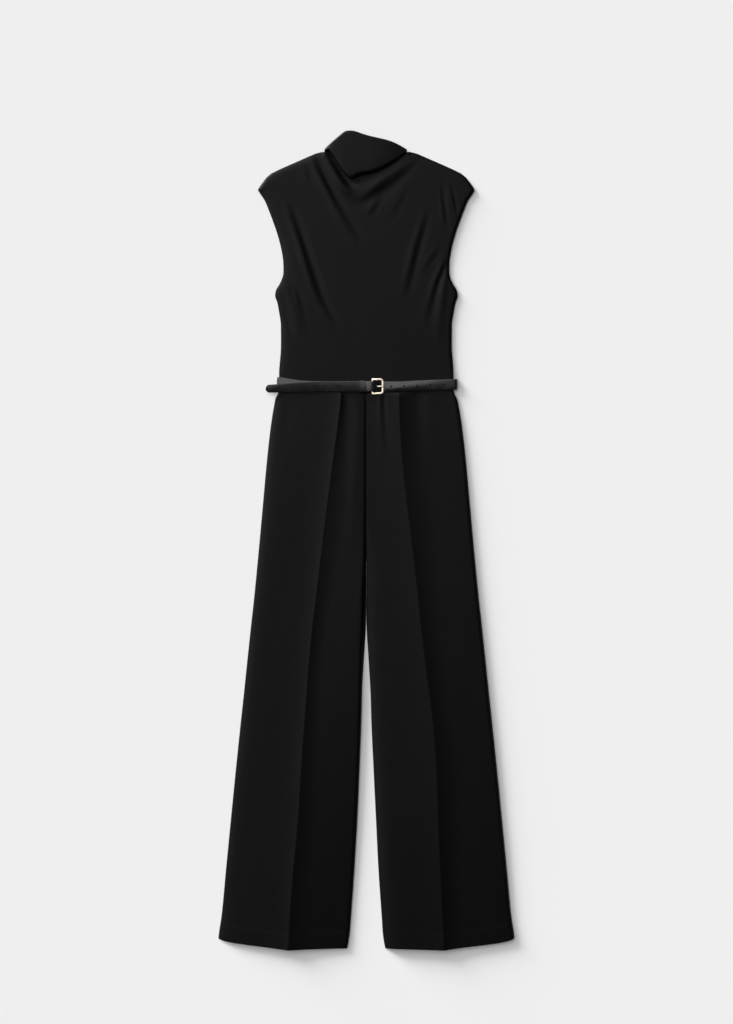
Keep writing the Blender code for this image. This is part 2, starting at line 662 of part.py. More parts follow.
def make_belt(leather):
    """The strap, with its punched holes and the slots that the prong goes through."""
    path, shift, width = belt_stations()
    left = normals_of(path)[1]
    rings = []
    for point, normal, up, wide in zip(path, left, shift, width):
        ring = []
        for across, through in rounded_section(wide / 2, LEATHER / 2, 0.35):
            x, z = point + normal * through
            ring.append((x, BELT_LINE + up + across, z))
        rings.append(ring)
    strap = sweep("belt_strap", rings, leather)
    strap.data.shade_flat()
    cutters = bpy.data.collections.new("belt_cutters")
    bpy.context.scene.collection.children.link(cutters)
    half = SLOT_HALF_WIDTH
    wrap_slot = box(
        "wrap_slot",
        (SLOT_X[0], BELT_LINE - half, BELT_Z - LEATHER),
        (SLOT_X[1], BELT_LINE + half, WRAP_TOP + LEATHER / 2 + SEAM_GAP / 2),
    )
    prong_slot = box(
        "prong_slot",
        (SLOT_X[1] - 0.1, BELT_LINE - half, BELT_Z + LEATHER / 2 + 0.2),
        (SLOT_X[2], BELT_LINE + half, WRAP_TOP + LAYER + LEATHER),
    )
    holes = []
    for number in range(HOLE_COUNT):
        centre = FIRST_HOLE_X + number * HOLE_SPACING
        up = float(np.interp(centre, FREE_END["x"], FREE_END["shift"]))
        circle = arc((centre, BELT_LINE + up), (HOLE_RADIUS, HOLE_RADIUS), 0, 330, 12)
        rings = [[(x, y, z) for x, y in circle] for z in (BELT_Z - LEATHER, BELT_Z + LEATHER)]
        holes.append(sweep("punched_hole_%d" % (number + 1), rings, None))
    for cutter in [wrap_slot, prong_slot] + holes:
        bpy.context.scene.collection.objects.unlink(cutter)
        cutters.objects.link(cutter)
        cutter.hide_render = True
        cutter.display_type = "WIRE"
    cut = strap.modifiers.new("slots and holes", "BOOLEAN")
    cut.operand_type = "COLLECTION"
    cut.collection = cutters
    cut.solver = "EXACT"


def make_keeper(leather):
    """The leather band that holds the free end down beside the buckle."""
    reach = BELT_WIDTH / 2 + SEAM_GAP + KEEPER_WALL / 2
    low = KEEPER_Z - LEATHER / 2 - SEAM_GAP - KEEPER_WALL / 2
    high = KEEPER_Z + LAYER + LEATHER / 2 + SEAM_GAP + KEEPER_WALL / 2
    path = ring_path((-reach, low), (reach, high), (0.9,) * 4, 4)
    left = normals_of(path, closed=True)[1]
    rings = []
    half_length = (KEEPER_X[1] - KEEPER_X[0]) / 2
    for (y, z), (ny, nz) in zip(path, left):
        ring = []
        for along, through in rounded_section(half_length, KEEPER_WALL / 2, 0.2):
            x = KEEPER_X[0] + half_length + along
            ring.append((x, BELT_LINE + y + ny * through, z + nz * through))
        rings.append(ring)
    sweep("belt_keeper", rings, leather, closed=True)


# Buckle -------------------------------------------------------------------------------------


def make_buckle(gold):
    """A rounded frame with a thin hinge bar on its left, and the prong that turns on that bar."""
    path = ring_path(
        (HINGE_X, -FRAME_HALF_HEIGHT),
        (OUTER_BAR_X, FRAME_HALF_HEIGHT),
        (1.6, FRAME_CORNER, FRAME_CORNER, 1.6),
        6,
    )
    left = normals_of(path, closed=True)[1]
    rings = []
    for (x, y), (nx, ny) in zip(path, left):
        wide = HINGE_WIRE + (FRAME_WIRE - HINGE_WIRE) * fade(x, HINGE_X, HINGE_X + 3)
        ring = []
        for out, through in rounded_section(wide / 2, FRAME_THICK / 2, 0.6):
            ring.append((x + nx * out, BELT_LINE + y + ny * out, HINGE_Z + through))
        rings.append(ring)
    sweep("buckle_frame", rings, gold, closed=True)

    reach = HINGE_WIRE / 2 + SEAM_GAP + RING_WALL / 2
    circle = np.array(arc((HINGE_X, HINGE_Z), (reach, reach), 0, 337.5, 16))
    left = normals_of(circle, closed=True)[1]
    rings = []
    for (x, z), (nx, nz) in zip(circle, left):
        ring = []
        for across, through in rounded_section(PRONG_WIDTH / 2, RING_WALL / 2, 0.2):
            ring.append((x + nx * through, BELT_LINE + across, z + nz * through))
        rings.append(ring)
    prong = sweep("buckle_prong", rings, gold, closed=True)
    prong.data.shade_flat()

    rest_z = HINGE_Z + FRAME_THICK / 2 + SEAM_GAP + PRONG_THICK / 2
    root = (HINGE_X + 0.8 * reach, HINGE_Z + 0.8 * reach)
    path = np.array([
        root, (16.0, rest_z - 0.75), (21.0, rest_z - 0.2), (26.0, rest_z), (30.0, rest_z),
        (33.0, rest_z), (34.6, rest_z - 0.15), (35.2, rest_z - 0.3),
    ])
    taper = (0.55, 0.9, 1, 1, 1, 0.95, 0.75, 0.4)
    left = normals_of(path)[1]
    rings = []
    for (x, z), (nx, nz), share in zip(path, left, taper):
        ring = []
        width, thick = PRONG_WIDTH / 2 * share, PRONG_THICK / 2 * share
        for across, through in rounded_section(width, thick, 0.45 * share):
            ring.append((x + nx * through, BELT_LINE + across, z + nz * through))
        rings.append(ring)
    arm = sweep("prong_arm", rings, gold)
    arm.hide_render = True
    arm.display_type = "WIRE"
    join = prong.modifiers.new("arm", "BOOLEAN")
    join.operation = "UNION"
    join.solver = "EXACT"
    join.object = arm


def main():
    for old in list(bpy.data.objects):
        bpy.data.objects.remove(old, do_unlink=True)
    crepe = material("black crepe", (0.011, 0.011, 0.012), 0.78)
    leather = material("black leather", (0.014, 0.014, 0.015), 0.42)
    gold = material("pale gold", (0.83, 0.62, 0.47), 0.24, metallic=1.0)
    make_legs(crepe)
    make_bodice(crepe)
    make_collar(crepe)
    make_belt(leather)
    make_keeper(leather)
    make_buckle(gold)


main()
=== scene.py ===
"""Looks of a black crepe jumpsuit with a draped funnel neck and a thin buckled belt, laid flat.

It is laid out as an add-on: settings, one operator for each group of pieces, and a panel that lists
them. Run as a script, it makes every piece over the packed model, and a plain studio round it.

x runs across the garment, y up it towards the neck, and z up off the floor. Cloth and leather are
shaped in millimetres, with heights counted from the lowest point of the hems; place() turns them
into metres in the model's frame.
"""

from contextlib import contextmanager

import bpy
import numpy as np
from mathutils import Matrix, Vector


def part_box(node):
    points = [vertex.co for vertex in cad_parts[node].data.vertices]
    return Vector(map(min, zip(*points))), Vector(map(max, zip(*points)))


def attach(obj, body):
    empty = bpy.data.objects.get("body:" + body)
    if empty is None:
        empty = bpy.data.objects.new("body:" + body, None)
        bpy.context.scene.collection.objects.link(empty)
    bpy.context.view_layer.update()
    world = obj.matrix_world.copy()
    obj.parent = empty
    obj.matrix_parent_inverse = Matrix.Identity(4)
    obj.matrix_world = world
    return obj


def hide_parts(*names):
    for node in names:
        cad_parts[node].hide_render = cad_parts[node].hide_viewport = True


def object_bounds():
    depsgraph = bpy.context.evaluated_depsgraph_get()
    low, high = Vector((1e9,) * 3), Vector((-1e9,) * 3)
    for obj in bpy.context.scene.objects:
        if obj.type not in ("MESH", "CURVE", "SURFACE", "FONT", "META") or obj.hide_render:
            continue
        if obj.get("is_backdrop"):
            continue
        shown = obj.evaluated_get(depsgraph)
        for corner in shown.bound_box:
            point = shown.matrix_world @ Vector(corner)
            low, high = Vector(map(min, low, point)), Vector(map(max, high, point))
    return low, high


bl_info = {
    "name": "Flat Laid Jumpsuit",
    "version": (1, 0, 0),
    "blender": (4, 5, 0),
    "location": "3D View > Sidebar > Jumpsuit",
    "description": "Cloth, belt and buckle of a black crepe jumpsuit that lies flat, and its studio",
    "category": "Object",
}

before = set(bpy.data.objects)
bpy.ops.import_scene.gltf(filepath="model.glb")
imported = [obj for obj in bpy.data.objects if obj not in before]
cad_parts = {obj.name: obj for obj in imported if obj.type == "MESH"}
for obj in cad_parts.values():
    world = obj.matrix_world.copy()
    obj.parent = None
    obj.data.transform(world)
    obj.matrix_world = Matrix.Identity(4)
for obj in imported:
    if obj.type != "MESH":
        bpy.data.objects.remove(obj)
CAD_LOW, CAD_HIGH = (Vector(corner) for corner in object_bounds())
MM = 0.001
HALF_LENGTH = CAD_HIGH.y / MM


# Settings -------------------------------------------------------------------------------------


def number_setting(name, about, default, low, high, **more):
    """A setting that holds a number between two limits."""
    return bpy.props.FloatProperty(name=name, description=about, default=default, min=low, max=high, **more)


def length_setting(name, about, default, low, high):
    """A setting that holds a length in metres."""
    return number_setting(name, about, default, low, high, precision=4, unit="LENGTH")


def share_setting(name, about, default, high=1):
    """A setting that holds a strength, from none to full."""
    return number_setting(name, about, default, 0, high, subtype="FACTOR")


def angle_setting(name, about, degrees, high):
    """A setting that holds an angle, given here in degrees."""
    return number_setting(name, about, np.radians(degrees), 0, np.radians(high), subtype="ANGLE", unit="ROTATION")


def colour_setting(name, about, default):
    """A setting that holds a colour."""
    return bpy.props.FloatVectorProperty(
        name=name, description=about, default=default, size=3, min=0, max=1, subtype="COLOR")


class ClothSettings(bpy.types.PropertyGroup):
    """Sizes and finish of the crepe."""

    wall: length_setting("Cloth wall", "Thickness of one layer of crepe", 0.0011, 0.0003, 0.0016)
    crease_lift: length_setting("Crease height", "How far the pressed crease stands up", 0.0042, 0, 0.006)
    fold_depth: share_setting("Fold depth", "Strength of the bodice's soft folds", 1.0, 2)
    hem_turn: length_setting("Hem turn", "Width of the turned-up hem", 0.033, 0.01, 0.06)
    colour: colour_setting("Crepe colour", "Colour of the black crepe", (0.001, 0.001, 0.0011))
    roughness: share_setting("Crepe roughness", "How matt the crepe is", 0.45)
    shine: share_setting("Crepe shine", "How much light the threads throw back", 0.12)
    sheen: share_setting("Crepe sheen", "Soft light caught by the nap at a low angle", 0.0)
    thread: length_setting("Thread spacing", "Distance between threads of the weave", 0.0006, 0.0002, 0.002)


class BeltSettings(bpy.types.PropertyGroup):
    """Sizes and finish of the belt and its buckle."""

    thickness: length_setting("Strap thickness", "Thickness of the leather", 0.0015, 0.0008, 0.0015)
    crown: length_setting("Strap crown", "How far the strap's middle stands above its edges", 0.0003, 0, 0.001)
    hole_radius: length_setting("Hole radius", "Radius of a punched hole", 0.0017, 0.0005, 0.002)
    leather: colour_setting("Leather colour", "Colour of the black leather", (0.003, 0.003, 0.0033))
    leather_roughness: share_setting("Leather roughness", "How dull the leather's finish is", 0.20)
    gold: colour_setting("Buckle colour", "Colour of the pale gold plating", (0.93, 0.79, 0.68))
    gold_roughness: share_setting("Buckle roughness", "How dull the plating is", 0.22)


class StudioSettings(bpy.types.PropertyGroup):
    """Floor, light and camera."""

    floor: colour_setting("Floor colour", "Colour of the pale floor", (0.80, 0.80, 0.80))
    low_turn: angle_setting("Low light's turn", "Where the low light comes from, turned from the right", 138, 360)
    low_light: number_setting("Low light", "Strength of the low light that shows the folds", 6.4, 0, 20)
    low_height: angle_setting("Low light's height", "Angle of the low light above the floor", 12, 90)
    low_spread: angle_setting("Low light's spread", "Angle that the low light takes in", 22, 180)
    broad_turn: angle_setting("Broad light's turn", "Where it comes from, turned from the right", 135, 360)
    broad_light: number_setting("Broad light", "Strength of the broad light", 2.6, 0, 20)
    broad_height: angle_setting("Broad light's height", "Angle of the broad light above the floor", 45, 90)
    broad_spread: angle_setting("Broad light's spread", "Angle that the broad light takes in", 80, 180)
    room: number_setting("Room light", "Strength of the even light from all round", 0.07, 0, 5)
    height: length_setting("Camera height", "Height of the camera above the floor", 3.0, 2, 20)
    view_length: length_setting("View length", "Floor that the picture's long side takes in", 1.9456, 0.5, 5)
    aim: bpy.props.FloatVectorProperty(
        name="Camera aim", description="Point of the floor at the middle of the picture",
        default=(0.0006, 0.0541, 0.0), size=3, precision=4, subtype="TRANSLATION", unit="LENGTH")


def cloth_settings():
    return bpy.context.scene.jumpsuit_cloth


def belt_settings():
    return bpy.context.scene.jumpsuit_belt


def studio_settings():
    return bpy.context.scene.jumpsuit_studio


# Cut of the garment ---------------------------------------------------------------------------


def table(columns, *rows):
    """A table with named columns: a dictionary of arrays."""
    return dict(zip(columns.split(), np.array(rows, float).T))


def fold_line(*rows):
    """The line of a ridge, a trough or a flank, as a table."""
    return table("x y lift width", *rows)


# Heights up the garment, half of the neck's width, and gaps between pieces.
WAIST = 1069.0
CROTCH = 756.0
SHOULDER_TIP = 1443.0
NECK_HALF = 82.0
SIDES = (("left", -1), ("right", 1))
SEAM_GAP = 0.3
HALF_GAP = SEAM_GAP / 2
BELT_LINE = 1069.4

# Half of the garment's width, from the waist up to the shoulder tip.
BODICE_SIDE = table(
    "height half_width",
    (1069, 164.3), (1093.8, 165.2), (1139.4, 162), (1185, 161.9), (1207.8, 164.8),
    (1230.6, 169.1), (1242, 172.9), (1253.4, 170.8), (1264.8, 164.1), (1276.2, 159.2),
    (1287.6, 157), (1310.4, 157.8), (1333.2, 161.7), (1356, 167.6), (1378.8, 175.2),
    (1401.6, 183.7), (1424.4, 193.2), (1435.8, 201), (1443, 205.3),
)
# Shoulder line, from the tip to the middle of the neck, for the front and the back.
SHOULDER = table(
    "across half_width front back",
    (0, 205.3, 1443, 1443),
    (0.03, 200.5, 1451, 1451),
    (0.10, 189.2, 1466.2, 1466.2),
    (0.15, 180, 1473.8, 1473.8),
    (0.22, 164.8, 1481.4, 1481.4),
    (0.46, 130.6, 1496.6, 1496.6),
    (0.72, 95.6, 1511.8, 1511.8),
    (0.80, 82, 1515, 1514.5),
    (0.84, 76, 1513, 1512.5),
    (1, 0, 1494, 1509),
)
# Leg edges and creases, measured outwards from the middle, and how wide each crease's shaded flank is.
LEG = table(
    "height outer inner_left inner_right inner_back crease_left crease_right flank_left flank_right",
    (0, 281, 37, 37, 37, 148, 147.5, 26, 24),
    (24, 280.2, 33, 32.8, 33, 146.8, 146.4, 26, 24),
    (64, 274.6, 29.6, 29.8, 29.8, 144.9, 144.2, 26, 24),
    (155, 265.9, 23.3, 23.6, 23.6, 138, 140, 24, 24),
    (246, 257, 18, 19, 18.8, 129.6, 136, 22, 26),
    (338, 247.9, 14, 14.4, 14.4, 123.8, 133, 20, 28),
    (429, 238.4, 10.4, 10.1, 10.4, 117.4, 126.6, 18, 26),
    (493, 231.5, 8.8, 8.2, 8, 112.6, 118.6, 17, 25),
    (550, 225.6, 7.4, 5.6, 4.6, 108.4, 111.4, 17, 25),
    (619, 218.2, 5.5, 3.2, 0.6, 101.6, 103, 18, 26),
    (664, 213.2, 4.4, 1.6, HALF_GAP, 96, 98.8, 19, 27),
    (756, 204.2, 0.6, 0.4, HALF_GAP, 85.4, 88, 22, 30),
    (839, 196.6, HALF_GAP, HALF_GAP, HALF_GAP, 75, 78, 22, 32),
    (930, 188.3, HALF_GAP, HALF_GAP, HALF_GAP, 63, 68, 18, 30),
    (999, 180.4, HALF_GAP, HALF_GAP, HALF_GAP, 53.6, 63.4, 12, 26),
    (1030, 175.4, HALF_GAP, HALF_GAP, HALF_GAP, 49.6, 62.4, 9, 24),
    (1048, 171.6, HALF_GAP, HALF_GAP, HALF_GAP, 48.2, 62.2, 8, 24),
    (1058, 166.6, HALF_GAP, HALF_GAP, HALF_GAP, 47.8, 62, 8, 24),
    (1068.7, 164.3, HALF_GAP, HALF_GAP, HALF_GAP, 47.6, 62, 8, 24),
)
# How high the front of each leg lies over the back, at its outer edge, its crease and its inner edge.
LEG_RISE = table(
    "height left_outer left_crease left_inner right_inner right_crease right_outer",
    (0, 3, 9.2, 2.6, 8.4, 8, 4.6),
    (155, 3.2, 8.6, 3.6, 7.6, 7.6, 4.9),
    (338, 3.4, 6.9, 5.2, 5.4, 6.4, 5.4),
    (550, 3.6, 5, 6.4, 3.2, 5, 5.4),
    (664, 3.6, 4.2, 6.2, 2.4, 4.4, 5.2),
    (756, 3.6, 3.7, 5.6, 2.6, 4, 4.8),
    (930, 3.2, 3.2, 4.2, 2.8, 3.2, 3.8),
    (1068.7, 2.6, 2.5, 2.7, 2.4, 2.5, 2.6),
)
# Collar: its top fold, the flap's lower edge, their heights above the floor, the fold's reach, how
# far in from its edge the flap comes down, and how far it is turned under.
COLLAR = table(
    "x top low crest edge turn roll lip",
    (-79, 1519.6, 1514.8, 6.6, 6, 1.8, 2, 0.3),
    (-75, 1524, 1517.2, 8.6, 7.2, 2.6, 3, 0.3),
    (-71, 1527.8, 1517, 10.2, 8.4, 3.2, 5, 0.3),
    (-66, 1532.2, 1511.5, 11.4, 9.2, 3.8, 8, 0.3),
    (-58, 1539.2, 1499, 12, 9.6, 4.4, 12, 0.3),
    (-50, 1546, 1486.5, 12.4, 9.6, 4.8, 14, 0.3),
    (-42, 1552.4, 1474.5, 12.6, 9.4, 5.2, 14, 0.3),
    (-36, 1554.7, 1467.6, 12.6, 9, 5.4, 12, 0.3),
    (-30, 1555, 1463.2, 12.6, 8.4, 5.4, 10, 0.3),
    (-25, 1554.7, 1463, 12.6, 8.1, 5.4, 9, 0.3),
    (-20, 1553.5, 1466, 12.6, 8.2, 5.4, 8, 0.5),
    (-14, 1551.5, 1469, 12.6, 8.5, 5.4, 7, 0.8),
    (-6, 1548.7, 1471.4, 12.6, 9, 5.2, 6, 1),
    (4, 1545.7, 1473.4, 12.6, 9.6, 5, 5, 1.1),
    (15, 1543, 1476.4, 12.5, 10, 4.8, 5, 1.2),
    (28, 1540.2, 1481.8, 12.1, 10.2, 4.4, 5, 1.2),
    (40, 1537.2, 1488.4, 11.4, 9.7, 4.2, 4, 1.1),
    (54, 1532.2, 1496.6, 10.2, 8.8, 3.6, 4, 1),
    (67, 1525.6, 1506, 8.5, 7.6, 2.8, 3, 0.8),
    (77, 1519.8, 1513.4, 6.6, 6.2, 2.2, 2, 0.6),
)

# Folds. A ridge or trough runs through its points, and stands up or sinks by lift over its width. A
# flank is a slope that faces the garment's right: it drops by lift across its line, over its width.
FRONT_BODICE_FLANKS = (
    # from the left armhole to the waist
    fold_line((-150, 1422, 0, 9), (-141, 1394, 1.8, 9), (-123, 1344, 3, 9), (-107, 1291, 3.4, 10),
              (-92, 1246, 2.8, 10), (-79, 1220, 2, 10), (-55, 1174, 0, 10)),
    # two from the left of the neck
    fold_line((-101, 1503, 0.8, 8), (-97, 1496, 1.8, 8), (-80, 1460, 3.2, 9), (-61, 1424, 3.2, 9),
              (-44, 1394, 2.2, 10), (-22, 1358, 1, 11), (-6, 1326, 0, 11)),
    fold_line((-117, 1490, 0, 7), (-112, 1474, 0.9, 7), (-104, 1448, 0, 7)),
    # beside the waist, on the left
    fold_line((-136, 1262, 0, 7), (-130, 1243, 1.1, 7), (-120, 1200, 0.7, 8), (-110, 1170, 0, 8)),
    # from the right shoulder to the middle
    fold_line((116, 1408, 0, 8), (109, 1379, 1, 8), (97, 1339, 1.8, 9), (88, 1302, 1.8, 9), (80, 1268, 1.2, 9),
              (72, 1236, 0, 9)),
    # under the right arm, deepest at its top
    fold_line((149, 1306, 0.6, 6), (142, 1287, 1.9, 6), (135, 1272, 1.9, 7), (125, 1237, 1.2, 8),
              (117, 1205, 0.5, 9), (110, 1176, 0, 9)),
    fold_line((140, 1334, 0, 7), (129, 1320, 0.8, 7), (117, 1303, 0.6, 7), (109, 1280, 0, 7)),
    # two short ones beside the right armhole
    fold_line((141, 1458, 0, 5), (144, 1425, 0.9, 5), (148, 1396, 1.2, 5), (152, 1366, 0, 5)),
    fold_line((157, 1456, 0, 4), (164, 1432, 1, 4), (168, 1410, 1.1, 4), (171, 1392, 0, 4)),
    # past the flap's tip
    fold_line((-38, 1459, 0.3, 6), (-30, 1452, 1.2, 7), (-20, 1449, 1.5, 7), (-9, 1452, 1.2, 7), (3, 1459, 0.3, 7)),
    # below the draped roll
    fold_line((90, 1494, 0.5, 8), (60, 1468, 1.5, 11), (45, 1456, 1.8, 12), (26, 1444, 1.9, 12), (7, 1431, 1.7, 12),
              (-6, 1425, 1.1, 11), (-19, 1422, 0.5, 10), (-30, 1424, 0, 10)),
    fold_line((30, 1436, 0, 8), (22, 1423, 1, 8), (14, 1407, 1.1, 8), (4, 1392, 0, 8)),
    fold_line((78, 1450, 0, 9), (68, 1430, 0.5, 9), (53, 1402, 0.5, 9), (38, 1380, 0, 9)),
)
FRONT_BODICE_FOLDS = (
    # soft light ridges beside the flanks
    fold_line((-152, 1352, 0, 9), (-147, 1325, 0.7, 10), (-133, 1290, 0.9, 10), (-112, 1246, 0.5, 10),
              (-98, 1214, 0, 10)),
    fold_line((-153, 1260, 0.3, 6), (-144, 1232, 0.9, 6), (-134, 1204, 0.8, 7), (-126, 1160, 0, 8)),
    fold_line((-158, 1226, -0.3, 6), (-152, 1200, -0.9, 6), (-144, 1174, -0.6, 6), (-136, 1148, 0, 7)),
    fold_line((150, 1284, 0.5, 6), (146, 1258, 1.1, 7), (142, 1226, 1.1, 8), (137, 1180, 0.6, 9), (133, 1136, 0, 9)),
    fold_line((154, 1446, 0, 5), (156, 1420, 0.8, 5), (161, 1392, 0, 5)),
    # the draped roll round the neck
    fold_line((-82, 1512, 0.2, 7), (-74, 1500, 1.6, 8), (-63, 1482, 3.2, 9), (-49, 1458, 3.8, 9),
              (-38, 1442, 2.6, 9), (-27, 1434, 1, 9), (-16, 1433, 0.3, 8), (-4, 1438, 0.4, 8), (12, 1448, 1.5, 8),
              (26, 1460, 1.6, 8), (38, 1469, 1.3, 8), (56, 1480, 0.8, 8), (74, 1491, 0, 8)),
)
# The deep hollow round the flap, left of its tip and under its free edge.
HOLLOW = (
    fold_line((-75, 1519, -0.8, 5), (-69, 1514, -2.8, 7), (-54, 1488, -4.6, 8), (-40, 1465, -4.8, 8),
              (-32, 1454, -3.6, 8), (-24, 1449, -1.4, 8), (-15, 1449, -0.5, 8), (-5, 1452, 0, 8)),
    fold_line((-20, 1461, -0.1, 6), (-4, 1465, -0.6, 7), (20, 1472, -1.2, 9), (40, 1483, -1.4, 8),
              (60, 1497, -1.1, 6), (76, 1511, -0.5, 5)),
)
FRONT_LEG_FOLDS = {
    "left": (
        fold_line((-140, 1069, 0, 12), (-148, 1020, -0.5, 13), (-158, 950, 0, 14)),
        fold_line((-20, 1069, 0.2, 8), (-18, 1000, 0.5, 9), (-24, 860, 0.6, 11), (-30, 740, 0, 12)),
    ),
    "right": (
        fold_line((100, 1069, -0.7, 12), (102, 1010, -0.6, 13), (108, 930, 0, 14)),
        fold_line((158, 1060, -0.6, 3), (161, 1046, 0, 3)),
        fold_line((151, 1062, -0.5, 3), (154, 1050, 0, 3)),
    ),
}
FRONT_LEG_FLANKS = {
    "left": (),
    "right": (
        fold_line((30, 1069, 1.5, 6), (30, 1030, 1.3, 6), (33, 985, 0.7, 8), (36, 920, 0, 9)),
    ),
}
# The back's own soft folds, seen only from below.
BACK_BODICE_FOLDS = {
    "left": (
        fold_line((-150, 1400, 0, 10), (-128, 1330, 0.6, 11), (-96, 1250, 0.5, 11), (-70, 1180, 0, 10)),
        fold_line((-120, 1490, 0, 8), (-84, 1440, 0.5, 9), (-52, 1380, 0, 9)),
        fold_line((-150, 1228, 0.2, 7), (-132, 1180, 0.4, 7), (-120, 1140, 0, 7)),
    ),
    "right": (
        fold_line((140, 1390, 0, 10), (120, 1322, 0.5, 10), (98, 1262, 0, 11)),
        fold_line((112, 1494, 0, 8), (88, 1446, 0.5, 8), (66, 1396, 0.3, 9), (50, 1340, 0, 9)),
        fold_line((152, 1250, 0.3, 6), (140, 1196, 0.5, 7), (130, 1150, 0, 7)),
    ),
}
BACK_LEG_FOLDS = {
    "left": (
        fold_line((-120, 1030, 0, 9), (-112, 970, 0.4, 10), (-108, 890, 0, 10)),
        fold_line((-30, 800, 0, 9), (-52, 740, 0.5, 10), (-84, 690, 0, 10)),
    ),
    "right": (
        fold_line((108, 1036, 0, 8), (104, 980, 0.4, 9), (98, 900, 0, 10)),
        fold_line((28, 790, 0, 9), (56, 728, 0.5, 10), (90, 694, 0, 9)),
    ),
}


# Curves and folds -----------------------------------------------------------------------------


def curve(data, key, column, at):
    """A smooth curve through one column of a table, read against another."""
    xs = data[key]
    ys = data[column]
    at = np.clip(np.asarray(at, float), xs.min(), xs.max())
    chords = np.diff(ys) / np.diff(xs)
    slopes = np.concatenate([chords[:1], (chords[1:] + chords[:-1]) / 2, chords[-1:]])
    turns = np.concatenate([[False], chords[1:] * chords[:-1] <= 0, [False]])
    slopes[turns] = 0
    i = np.clip(np.searchsorted(xs, at) - 1, 0, len(xs) - 2)
    width = xs[i + 1] - xs[i]
    t = (at - xs[i]) / width
    rise = ys[i + 1] - ys[i]
    lean = slopes[i] * width
    exit_lean = slopes[i + 1] * width
    return ys[i] + t * (lean + t * (3 * rise - 2 * lean - exit_lean + t * (lean + exit_lean - 2 * rise)))


def fade(x, start, end):
    """0 at start, 1 at end, with a level tangent at both."""
    t = np.clip((x - start) / (end - start), 0, 1)
    return t * t * (3 - 2 * t)


def rounded_line(points, rounds=2):
    """A line of points with its corners cut, each round making it smoother."""
    points = np.asarray(points, float)
    for _ in range(rounds):
        start, end = points[:-1], points[1:]
        cut = np.stack([start * 0.75 + end * 0.25, start * 0.25 + end * 0.75], 1)
        points = np.concatenate([points[:1], cut.reshape(-1, points.shape[1]), points[-1:]])
    return points


def beside(fold, x, y):
    """Where these places lie by a fold: distance, distance to its left, and its lift and width there."""
    line = rounded_line(np.stack(list(fold.values()), -1))
    found = [np.full(np.shape(x), start) for start in (np.inf, 0.0, 0.0, 1.0)]
    for start, end in zip(line[:-1], line[1:]):
        dx, dy = end[:2] - start[:2]
        length = np.hypot(dx, dy)
        share = np.clip(((x - start[0]) * dx + (y - start[1]) * dy) / length**2, 0, 1)
        away = np.hypot(x - start[0] - share * dx, y - start[1] - share * dy)
        aside = (dx * (y - start[1]) - dy * (x - start[0])) / length
        lift, width = (start[i] + (end[i] - start[i]) * share for i in (2, 3))
        closer = away < found[0]
        found = [np.where(closer, new, old) for new, old in zip((away, aside, lift, width), found)]
    return found


def folds_height(folds, x, y):
    """Height of ridges and troughs: greatest on their lines, and gone past their widths."""
    total = np.zeros(np.shape(x))
    for fold in folds:
        away, _, lift, width = beside(fold, x, y)
        total += lift * np.exp(-((away / width) ** 2))
    return total


def flanks_height(flanks, x, y):
    """Height of slopes that face right: up on one side of their lines, and down on the other."""
    total = np.zeros(np.shape(x))
    for flank in flanks:
        away, aside, lift, width = beside(flank, x, y)
        total -= lift * np.sqrt(2 * np.e) / 2 * aside / width * np.exp(-((away / width) ** 2))
    return total


# Waves that no iron takes out: the length of each, the way it runs, and its share of the whole.
CLOTH_WAVES = ((91.0, 0.6, 1.0), (57.0, 2.1, 0.7), (38.0, 3.9, 0.5), (143.0, 5.2, 1.0))
WAVE_STRETCH = 0.6
WAVE_TOTAL = 2.2
# By front panel, how high its waves stand, and a number that sets where they fall.
PANEL_WAVES = {"bodice": (0.1, 1.0), "left": (0.12, 2.0), "right": (0.12, 4.0)}


def unevenness(x, y, panel):
    """Slight waves of a front panel's cloth."""
    lift, seed = PANEL_WAVES[panel]
    total = 0
    for number, (length, turn, share) in enumerate(CLOTH_WAVES):
        across = np.cos(turn + seed) * x + np.sin(turn + seed) * y * WAVE_STRETCH
        total = total + share * np.sin(across / length * 2 * np.pi + seed * 3 + number * 1.7)
    return lift * (total / WAVE_TOTAL)


# Height of the layers -------------------------------------------------------------------------

BACK_LEVEL = 1.6
BELT_LIFT = 0.5
RISE = 1.8
RISE_MIDDLE = 1072.9
RISE_BAND = (16.5, 38.5)
FOLD_BAND = (8.5, 14.0)
BODICE_LIFT = 2.4
MOST_BODICE_LIFT = 6.5
LIT_EDGE = 8.0
SHADED_EDGE = 1.6
SHOULDER_EDGE = 3.5
JOINED_EDGE = 3.0
LIT_CREASE = {"left": 15.0, "right": 42.0}
CREASE_STRENGTH = {"left": 0.62, "right": 0.9}
FLANK_REACH = 1.6
SHOULDER_SLOPE = 0.9
SEAM_EDGE = 2.4
SEAM_DROP = 0.6
SEAM_OPENS = 60.0
HEM_STEP = 0.2
HEM_STEP_REACH = 3
HEM_LIFT_OUTER = 15.5
HEM_CORNER_ROUND = 5.5
HEM_CORNER_POWER = 10
HEM_LIFT_INNER = 2.5
HEM_FADE = 90.0
HEM_DRAW = 2.0
# How the belt's middle line lies up or down the garment from the belt line.
HELD = table("x shift", (-170, 9), (-118, 0.5), (-90, 0), (60, 0), (169, 4.6))


def belt_band(y):
    """1 under the belt, 0 well clear of it."""
    return 1 - fade(np.abs(y - RISE_MIDDLE), *RISE_BAND)


def back_under(y):
    """Underside of the back: level on the floor, but for the rise over the belt behind it."""
    return RISE * belt_band(y)


